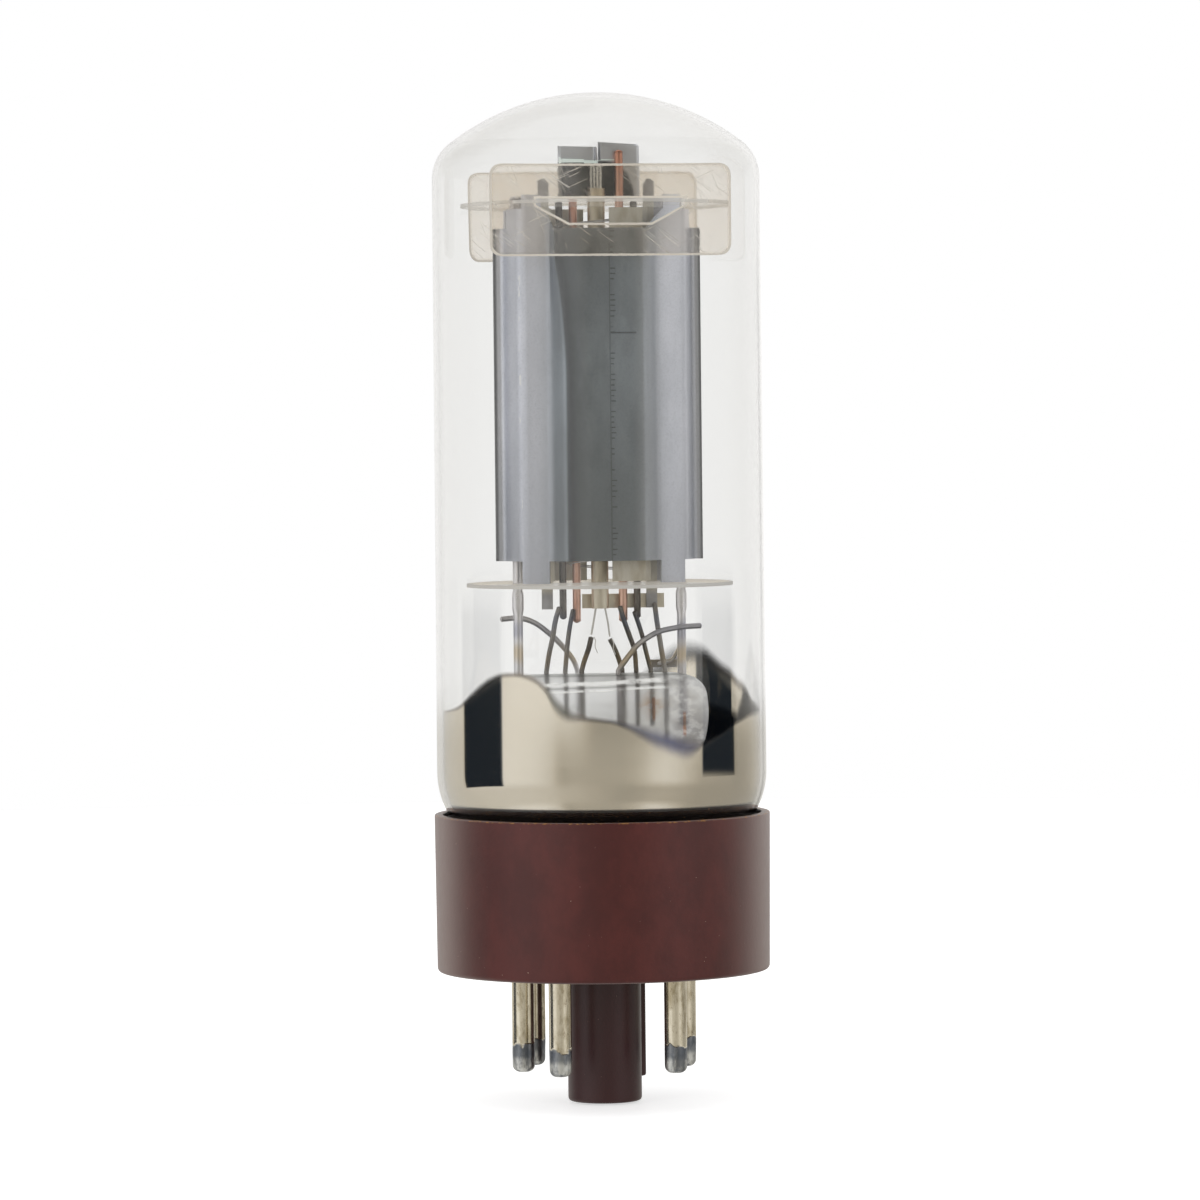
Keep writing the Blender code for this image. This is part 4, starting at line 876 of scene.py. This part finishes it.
def stem_grid(keys, rows):
    """A loft: at each height, x is the half width times a power of the cosine and y the half depth
    times a power of the sine, with the ends swollen by the cube of the share out from the middle. In
    one more row, all points meet in the last row's middle."""
    height, wide, deep, power, swell = [column[:, None] for column in smooth_through(keys, rows).T]
    c, s = np.cos(all_round(72)), np.sin(all_round(72))
    out = np.sign(c) * np.abs(c) ** (2.0 / power)
    y = deep * np.sign(s) * np.abs(s) ** (2.0 / power) * (1 + swell * (np.abs(out) ** 3 - 0.3))
    grid = np.stack([wide * out, y, np.broadcast_to(height, y.shape)], axis=-1)
    return np.concatenate([grid, np.broadcast_to(grid[-1:].mean(axis=1, keepdims=True), grid[-1:].shape)])


stem_rows = np.concatenate([stem_grid(INNER_STEM, 40)[::-1], stem_grid(OUTER_STEM, 90)])
make_piece("stem_and_press", [stem_rows], STEM_GLASS, "glass_stem", sharp=60.0, shadow=False)

# %% Exhaust tube
TUBE_OUTER, TUBE_BORE, TUBE_FOOT = 1.3, 0.85, (0.0, 8.2)
tube_top = levels("exhaust_tube")[1]
tube_profile = np.concatenate([arc(TUBE_FOOT, TUBE_OUTER, -90.0, 0.0, 12),
                               [[TUBE_OUTER, tube_top], [TUBE_BORE, tube_top]],
                               arc(TUBE_FOOT, TUBE_BORE, 0.0, -90.0, 12)])
tube_profile[[0, -1], 0] = 0.0
make_piece("exhaust", [turned(tube_profile, 36)], STEM_GLASS, "exhaust_tube", sharp=60.0, shadow=False)

# %% [markdown]
# ## Micas
#
# The two discs are flat sheets with punched holes, which the CAD solids already have exactly, so those
# stay and only take the mica finish. The upright plates get rounder corners: one ring of points follows
# the plate's outline, one its window, and the sheet lies between.

# %% Mica discs and plates
def dress(node, finish):
    """A new finish for a CAD solid that keeps its shape."""
    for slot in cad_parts[node].material_slots:
        slot.material = finish.material


dress("bottom_mica", MICA_DISC_LOW)
dress("top_mica", MICA_DISC_HIGH)


def ring_at(outline, centre, angles):
    """An outline read at given angles about a centre: its distance there, worked out between the
    nearest points. First, each straight run gets 24 points."""
    share = np.linspace(0.0, 1.0, 24, endpoint=False)[:, None]
    outline = (outline[:, None] + share * (np.roll(outline, -1, axis=0) - outline)[:, None]).reshape(-1, 2)
    spokes = outline - centre
    turn = np.mod(np.arctan2(spokes[:, 1], spokes[:, 0]), 2.0 * math.pi)
    order = np.argsort(turn)
    distance = np.interp(angles, turn[order], np.linalg.norm(spokes, axis=1)[order], period=2.0 * math.pi)
    return centre + distance[:, None] * np.stack([np.cos(angles), np.sin(angles)], axis=-1)


def plate_grid(node):
    (x0, y0, z0), (x1, y1, z1) = box(node)
    outer = rounded([(x0, z0), (x1, z0), (x1, z1), (x0, z1)], PLATE_CORNER, 9, True)
    half = [(WINDOW_FOOT_HALF, WINDOW_FOOT), (WINDOW_HALF, WINDOW_SHOULDER), (WINDOW_HALF, WINDOW_HEAD)]
    window = rounded([(-half[0][0], half[0][1]), *half, *[(-x, z) for x, z in half[:0:-1]]], 0.12, 4, True)
    centre = np.array([0.0, HIGH_MICA - 0.5])
    frame_line, hole = [ring_at(line, centre, all_round(720)) for line in (outer, window)]
    rows = [(frame_line, y0), (hole, y0), (hole, y1), (frame_line, y1), (frame_line, y0)]
    return np.stack([np.insert(ring, 1, y, axis=1) for ring, y in rows])


for side in ("front", "rear"):
    make_piece(f"{side}_mica_plate", [plate_grid(f"{side}_spacer")], MICA_PLATE, f"{side}_spacer",
               shadow=False)

# %% [markdown]
# ## The anode
#
# Each half of the anode is one folded sheet. Seen from above it is a line, so y is a function of x with
# a soft bend at each fold; seen from the front its feet, tabs, notches and the cut at its top are two
# more functions of x, the low and the high edge. The rear half is the same sheet turned round. On the
# front half the left fold leans outwards near the top, by a square of the height above it.

# %% Anode halves
ANODE_EDGE = 10.9
STEP = 0.002


def anode_grid(turned_round):
    plan = rounded([(-ANODE_EDGE, -0.25), (-9.9, -0.25), (-8.7, -3.0), (-5.6, -4.2), (-4.3, -6.15),
                    (0.3, -6.6), (4.3, -6.15), (5.6, -4.2), (8.7, -3.0), (9.9, -0.25),
                    (ANODE_EDGE, -0.25)], 0.55, 7)
    foot, tab = LOW_MICA - 0.1, CAGE_TOP + 0.8
    low, high = CAGE_FLOOR + 2.35, HIGH_MICA - 0.3
    cut, notch = high - 2.1, high - 1.95
    low_x, low_z = np.array([(0.0, low), (5.85, low), (5.85 + STEP, foot), (8.5, foot), (8.5 + STEP, low),
                             (12.0, low)]).T
    high_x, high_z = np.array([(0.0, cut), (4.4, cut), (6.4, high), (6.4 + STEP, tab), (8.3, tab),
                               (8.3 + STEP, high), (9.55, high), (9.55 + STEP, notch), (12.0, notch)]).T
    breaks = np.concatenate([low_x, high_x])
    x = np.concatenate([np.linspace(-ANODE_EDGE, ANODE_EDGE, 180), plan[:, 0], breaks, -breaks])
    x = np.unique(np.round(np.clip(x, -ANODE_EDGE, ANODE_EDGE), 4))
    section = np.stack([x, np.interp(x, plan[:, 0], plan[:, 1])], axis=-1)
    grid = upright_sheet(-section if turned_round else section, np.interp(abs(x), low_x, low_z),
                         np.interp(abs(x), high_x, high_z), 60)
    if not turned_round:
        flare = FLARE_LEAN * np.clip((grid[..., 2] - FLARE_FOOT) / FLARE_RISE, 0.0, 1.0) ** 2
        grid[..., 0] -= flare * np.interp(grid[..., 0], [-5.6, -4.3, 0.3], [0.0, 1.0, 0.0])
    return grid


make_piece("anode_front_half", [anode_grid(False)], ANODE, "anode_front", sharp=35.0)
make_piece("anode_rear_half", [anode_grid(True)], ANODE, "anode_rear", sharp=35.0)

# %% [markdown]
# ## Rods and grids
#
# Straight rods stand in both micas. The support rods were crimped just under the bottom one. Each grid
# is one thin wire wound round its two rods: a flattened helix, whose x and y follow a cosine and a sine
# while z climbs evenly.

# %% Rods
CRIMP = ([0.0, 0.224, 0.234, 0.262, 0.266, 1.0], [1.0, 1.0, 1.2, 1.2, 1.0, 1.0])


def rod(name, node, finish, flatten=None):
    low, high = box(node)
    x, y, _ = 0.5 * (low + high)
    path = np.linspace((x, y, low[2]), (x, y, high[2]), 240)
    make_piece(name, [round_wire(path, 0.5 * (high[1] - low[1]), 20, flatten)], finish, node)


for side in ("left", "right"):
    rod(f"anode_rod_{side}", f"support_rod_{side}", NICKEL, CRIMP)
for side in ("left", "right"):
    rod(f"control_grid_post_{side}", f"control_grid_rod_{side}", COPPER)
    rod(f"screen_grid_post_{side}", f"screen_grid_rod_{side}", DARK_NICKEL)


# %% Grid windings
def winding(grid_name, turns, wire=0.06):
    low, high = box(grid_name + "_grid_winding")
    angle = np.linspace(0.0, 2.0 * math.pi * turns, turns * 40)
    path = np.stack([(high[0] - wire) * np.cos(angle), (high[1] - wire) * np.sin(angle),
                     np.linspace(low[2] + wire, high[2] - wire, len(angle))], axis=-1)
    make_piece(grid_name + "_winding", [round_wire(path, wire, 6)], NICKEL, grid_name + "_grid_winding")


winding("control", 20)
winding("screen", 15)


# %% Cathode sleeve
def cathode_grid():
    (_, _, foot), (half, depth, head) = box("cathode_sleeve")
    bore = half - 0.12
    grid = turned(np.array([(half, foot), (half, head), (bore, head), (bore, foot), (half, foot)]), 48)
    grid[..., 1] *= depth / half
    return grid


make_piece("cathode", [cathode_grid()], CATHODE_METAL, "cathode_sleeve")

# %% Heater
HEATER_TOP, HEATER_TURN = levels("heater")[1] - 0.11, CAGE_FLOOR + 1.0
HEATER_EXIT = LOW_MICA - 2.4
LEGS = (-0.495, -0.165, 0.165, 0.495)
left_tip = np.array([-1.0, -0.2, levels("heater_lead_left")[1] + 0.12])
right_tip = np.array([1.0, 0.1, levels("heater_lead_right")[1] + 0.12])
heater_corners = [left_tip, (-0.75, -0.15, 0.5 * (left_tip[2] + HEATER_EXIT)), (LEGS[0], 0, HEATER_EXIT),
                  (LEGS[0], 0, HEATER_TOP), (LEGS[1], 0, HEATER_TOP), (LEGS[1], 0, HEATER_TURN),
                  (LEGS[2], 0, HEATER_TURN), (LEGS[2], 0, HEATER_TOP), (LEGS[3], 0, HEATER_TOP),
                  (LEGS[3], 0, HEATER_EXIT), (0.8, 0.05, 0.5 * (right_tip[2] + HEATER_EXIT)), right_tip]
TAIL = np.array([(0.2, -0.42, -0.2), (0.35, -0.46, -0.6), (0.3, -0.46, -1.1), (0.55, -0.44, -1.9)])
tails = [round_wire(smooth_through(tip + TAIL, 16), 0.045, 6) for tip in (left_tip, right_tip)]
make_piece("heater_wire", [round_wire(rounded(heater_corners, 0.16), 0.1, 8), *tails], WHITE_OXIDE, "heater")

# %% [markdown]
# ## Beam plates, radiators and straps
#
# The beam plates are folded exactly as the CAD solids are, so those stay. The radiators are folded
# sheets whose top edge rises towards the back.

# %% Folded sheets
for side in ("left", "right"):
    dress(f"beam_plate_{side}", BEAM_METAL)
dress("cathode_strap", CATHODE_METAL)
dress("getter_channel", DARK_NICKEL)


def radiator(side, corners, front_top, back_top, fall):
    """A folded sheet whose top is one height up to y = 1.3 mm and another behind it, less a fall for
    each millimetre to the right."""
    node = f"radiator_{side}"
    line = rounded(corners, 0.35)
    share = np.linspace(0, 1, 4, endpoint=False)[:, None]
    runs = line[:-1, None] + np.diff(line, axis=0)[:, None] * share
    section = np.concatenate([runs.reshape(-1, 2), line[-1:]])
    high = np.interp(section[:, 1], [1.3, 1.95], [front_top, back_top]) - fall * section[:, 0]
    make_piece(f"{side}_radiator", [upright_sheet(section, levels(node)[0], high, 12)], RADIATOR_SHEET, node,
               sharp=35.0)


radiator("left", [(-1.35, -0.72), (-3.6, -0.72), (-3.6, 2.4), (0.35, 2.4), (0.35, 0.95), (-3.0, 0.95)],
         98.85, 100.75, 0.03)
radiator("right", [(0.65, 0.72), (4.7, 0.72), (4.7, 2.4), (0.65, 2.4)], 101.2, 101.6, 0.1)

# %% [markdown]
# ## Leads
#
# Nine wires rise out of the press. Each bends once or twice on its way to what it holds, and six run on
# through the stem into their pins. A cubic curve through a few points gives the bends.

# %% Lead routes
# foot in the press, as a share of the anode's half width and a depth; pin; radius; end; and the route
# up to it, as shares of the way out and of the way from the press to the bottom mica
LEADS = {
    "screen_lead": ((-0.5275, 0.0), 4, 0.26, (-4.45, -0.85),
                    [(1.0, 0.77), (0.72, 0.63), (0.48, 0.42), (0.2, 0.22)]),
    "grid_lead": ((-0.3486, 0.0), 5, 0.26, (-2.95, -0.85), [(1.0, 0.74), (0.65, 0.58), (0.3, 0.35)]),
    "heater_lead_left": ((-0.1881, -0.45), 2, 0.26, (-1.0, -0.2), [(1.0, 0.42), (0.76, 0.3), (0.24, 0.13)]),
    "heater_lead_right": ((0.2156, 0.5), 7, 0.26, (1.0, 0.1), [(1.0, 0.39), (0.6, 0.28), (0.22, 0.14)]),
    "grid_brace": ((0.344, 0.0), None, 0.26, (1.95, -0.85),
                   [(1.0, 0.77), (0.7, 0.58), (0.4, 0.42), (0.12, 0.27)]),
    "screen_brace": ((0.4954, 0.0), None, 0.26, (3.45, -0.85),
                     [(1.0, 0.71), (0.77, 0.58), (0.51, 0.42), (0.26, 0.22)]),
    "cathode_lead": ((0.6284, 0.0), 8, 0.26, (5.9, 0.15),
                     [(1.0, 0.8), (0.79, 0.6), (0.53, 0.4), (0.26, 0.2)]),
    "anode_lead_left": ((-0.211, 0.92), 3, 0.29, (-7.95, 0.92),
                        [(1.45, 0.63), (1.0, 0.63), (0.83, 0.59), (0.51, 0.45), (0.26, 0.29), (0.06, 0.13)]),
    "anode_lead_right": ((0.1606, -0.92), None, 0.29, (7.95, -0.92),
                         [(1.43, 0.53), (1.0, 0.51), (0.72, 0.47), (0.51, 0.4), (0.33, 0.32), (0.2, 0.22),
                          (0.09, 0.12)]),
}
NECK_CIRCLE = 4.6


def lead_path(foot, number, end, route):
    """The bends above the press as one cubic curve, then the straight runs down to the pin."""
    x, y = foot[0] * ANODE_HALF, foot[1]
    across, up = np.array(route).T
    above = np.stack([x + across * (end[0] - x), y + across * (end[1] - y),
                      PRESS_TOP + up * (LOW_MICA - PRESS_TOP)], axis=-1)
    above = smooth_through(np.concatenate([above, [[x, y, PRESS_TOP + 0.3]]]), 60)
    if number is None:
        return np.concatenate([above, [[x, y, PRESS_TOP - 2.0], [x, y, PRESS_TOP - 5.7]]])
    neck, pin = pin_centre(number, NECK_CIRCLE), pin_centre(number)
    below = rounded([(x, y, PRESS_TOP + 0.2), (x, y, 35.3), (*neck, 29.9), (*pin, 18.8), (*pin, 6.2)], 1.0)
    return np.concatenate([above, below])


for name, (foot, number, radius, end, route) in LEADS.items():
    make_piece(name.replace("lead", "wire").replace("brace", "stay"),
               [round_wire(lead_path(foot, number, end, route), radius, 14)],
               NICKEL if name.startswith("anode") else DARK_NICKEL, name)

getter_corners = [(8.65, 0.83, 49.06), (8.65, 0.83, 47.7), (8.13, 2.65, 46.1), (6.57, 2.65, 45.7)]
make_piece("getter_stay", [round_wire(rounded(getter_corners, 0.6), 0.2, 10)], NICKEL, "getter_wire")

# %% [markdown]
# ## The studio
#
# Glass and metal show the room around them, so the room is the most important light. The tube stands on
# a pale table before a white wall. Two bright panels stand in front, left and right, a dark card stands
# outside each panel, and the side of the camera is dimmer. The world shader holds all of this for
# reflected rays, as a function of direction, while rays that come straight or through the glass see
# plain white. Each row of levels below is one colour ramp over the direction round the tube. Further
# down both fade towards one plain level for the table, brighter on the left than on the right. Dim
# levels are a little warmer than bright ones.

# %% World
WHITE, FILL = (1.0, 1.0, 1.0, 1.0), (0.6, 0.6, 0.6, 1.0)
CARD = (0.018, 0.024, 0.034, 1.0)
# left and right edge of each dark card and its foot, in degrees round from the front and of rise
CARDS = ((-114.0, -74.8, -11.5), (75.6, 109.3, -4.4))
TABLE_LEFT, TABLE_RIGHT = (0.68, 0.68, 0.68, 1.0), (0.42, 0.42, 0.42, 1.0)
WARM, NEUTRAL = (1.0, 0.955, 0.86, 1.0), (1.0, 0.99, 0.975, 1.0)
# degrees round from the front, and level: near the table, and at the height of the tube
PANELS_LOW = [(-180, 0.74), (-118, 0.70), (-74, 0.93), (-64, 0.95), (-52, 0.92), (-43, 0.84), (-36, 0.74),
              (-31, 0.56), (-27, 0.51), (-20, 0.54), (0, 0.51), (14, 0.51), (22, 0.56), (30, 0.66), (38, 0.8),
              (46, 0.85), (54, 0.8), (62, 0.7), (75, 0.5), (115, 0.42), (130, 0.52), (150, 0.7), (179, 0.74)]
PANELS_HIGH = [(-180, 1.0), (-155, 0.93), (-130, 0.84), (-100, 0.88), (-60, 1.0), (-24, 1.0), (-14, 0.8),
               (-6, 0.42), (0, 0.36), (30, 0.38), (40, 0.65), (50, 0.94), (80, 0.88), (120, 0.8), (150, 1.0),
               (179, 1.0)]


def seen_straight(f):
    """1 for rays from the camera, straight or through glass."""
    through = f.node("LightPath", output="Is Transmission Ray")
    return f.node("LightPath", output="Is Camera Ray").math("MAXIMUM", through)


def build_world():
    world = bpy.data.worlds.new("studio")
    world.use_nodes = True
    bpy.context.scene.world = world
    f = Shading(world.node_tree)
    x, y, z = f.split("XYZ", f.node("TexCoord", output="Generated"))
    turn = f.round_share(x, y)
    degrees = (turn - 0.5) * 360.0
    rise = z.math("ARCSINE") * (180.0 / math.pi)

    def panels(row):
        return f.node("ValToRGB", {0: turn}, stops=[(place / 360.0 + 0.5, level) for place, level in row])

    def card(left, right, foot):
        wide = degrees.above(left - 0.6, left + 0.6) * degrees.below(right - 1.2, right + 1.2)
        return wide * rise.above(foot - 0.6, foot + 0.6) * rise.below(-1.75, -1.35)

    level = f.mix(rise.above(-3.0, -2.3), panels(PANELS_LOW), panels(PANELS_HIGH))
    level = f.mix(rise.below(-17.0, -4.5) * rise.above(-40.0, -30.0) * 0.7, level,
                  f.mix(degrees.above(-35.0, 25.0), TABLE_LEFT, TABLE_RIGHT))
    warm = f.mix(f.node("RGBToBW", {0: level}).above(0.5, 0.95), WARM, NEUTRAL)
    reflected = f.node("VectorMath", {0: warm, 1: level}, operation="MULTIPLY")
    reflected = f.mix(card(*CARDS[0]) + card(*CARDS[1]), reflected, CARD)
    mirrored = f.node("LightPath", output="Glossy Depth").math("MINIMUM", 1.0)
    light = f.mix(mirrored, f.mix(seen_straight(f), FILL, WHITE), reflected)
    f.raw("OutputWorld", {0: f.node("Background", {"Color": light, "Strength": 1.0})})


build_world()

# %% [markdown]
# The table is a round pale disc. Seen straight it is as white as the wall, yet it keeps the soft shadow
# at the tube's foot: its own shading is added to a little light of its own. Mirrors and glass don't show
# it, because the world has its own levels for what lies low.

# %% Table
TABLE_LIFT = 0.6
TABLE_RADIUS, TABLE_LEVEL = 0.5, -0.0002


def table_finish():
    f = Finish("table", Base_Color=(0.82, 0.82, 0.82, 1.0), Roughness=0.6, Specular_IOR_Level=0.2,
               Emission_Strength=1.0)
    lift = TABLE_LIFT * seen_straight(f)
    return f.feed(Emission_Color=f.node("CombineColor", {0: lift, 1: lift, 2: lift}))


grid = turned(np.stack([np.linspace(0.0, TABLE_RADIUS, 12), np.full(12, TABLE_LEVEL)], axis=-1))
mesh = bpy.data.meshes.new("table")
mesh.from_pydata(grid.reshape(-1, 3), [], grid_faces(*grid.shape[:2]))
mesh.materials.append(table_finish().material)
table = bpy.data.objects.new("table", mesh)
table.visible_glossy = False
table.visible_transmission = False
bpy.context.scene.collection.objects.link(table)


# %% Lamps
def from_front(azimuth, elevation):
    """The direction towards a place round the tube, from its angle to the front and its rise."""
    a, e = FRONT + math.radians(azimuth), math.radians(elevation)
    return np.array([math.sin(a) * math.cos(e), -math.cos(a) * math.cos(e), math.sin(e)])


def aim(made, centre, back, distance):
    """Stand a lamp or camera back from a centre and turn it to face that."""
    made.location = centre + back * distance
    made.rotation_mode = "QUATERNION"
    made.rotation_quaternion = Vector(back).to_track_quat("Z", "Y")
    bpy.context.scene.collection.objects.link(made)


LAMP_SIZE, LAMP_DISTANCE = 0.5, 0.9
TUBE_MIDDLE = np.array([0.0, 0.0, 0.055])


def lamp(name, azimuth, elevation, power, colour):
    """A square lamp that faces the middle of the tube."""
    data = bpy.data.lights.new(name, "AREA")
    data.size = LAMP_SIZE
    data.energy = power
    data.color = colour
    made = bpy.data.objects.new(name, data)
    made.visible_glossy = False
    made.visible_transmission = False
    made.visible_camera = False
    aim(made, TUBE_MIDDLE, from_front(azimuth, elevation), LAMP_DISTANCE)


lamp("left_lamp", -48.0, 12.0, 2.0, (1.0, 0.97, 0.93))
lamp("right_lamp", 48.0, 12.0, 1.7, (0.96, 0.98, 1.0))
lamp("top_lamp", 0.0, 70.0, 1.2, (1.0, 1.0, 1.0))

# %% [markdown]
# ## The camera
#
# The photograph was taken with a long lens from a little above, 0.6 m away and slightly to the left of
# the electrodes' front, with the camera turned by about half a degree.

# %% Camera
DISTANCE = 0.612
PITCH = 1.65
ROLL = math.radians(0.6)
TARGET = np.array([0.0, 0.0, 0.0526])

data = bpy.data.cameras.new("camera")
data.sensor_width = 36.0
data.lens = 175.0
data.clip_start = 0.05
data.clip_end = 20.0
camera = bpy.data.objects.new("camera", data)
aim(camera, TARGET, from_front(0.0, PITCH), DISTANCE)
camera.rotation_quaternion = camera.rotation_quaternion @ Quaternion((0.0, 0.0, 1.0), -ROLL)

scene = bpy.context.scene
scene.camera = camera
scene.view_settings.view_transform = "Standard"
scene.cycles.caustics_refractive = False
scene.cycles.caustics_reflective = False
scene.cycles.transmission_bounces = 16
scene.cycles.transparent_max_bounces = 24
scene.cycles.max_bounces = 24

# %% [markdown]
# ## The end

# The visual model must stay inside the CAD model's box.

# %% Finish
print("scene built")
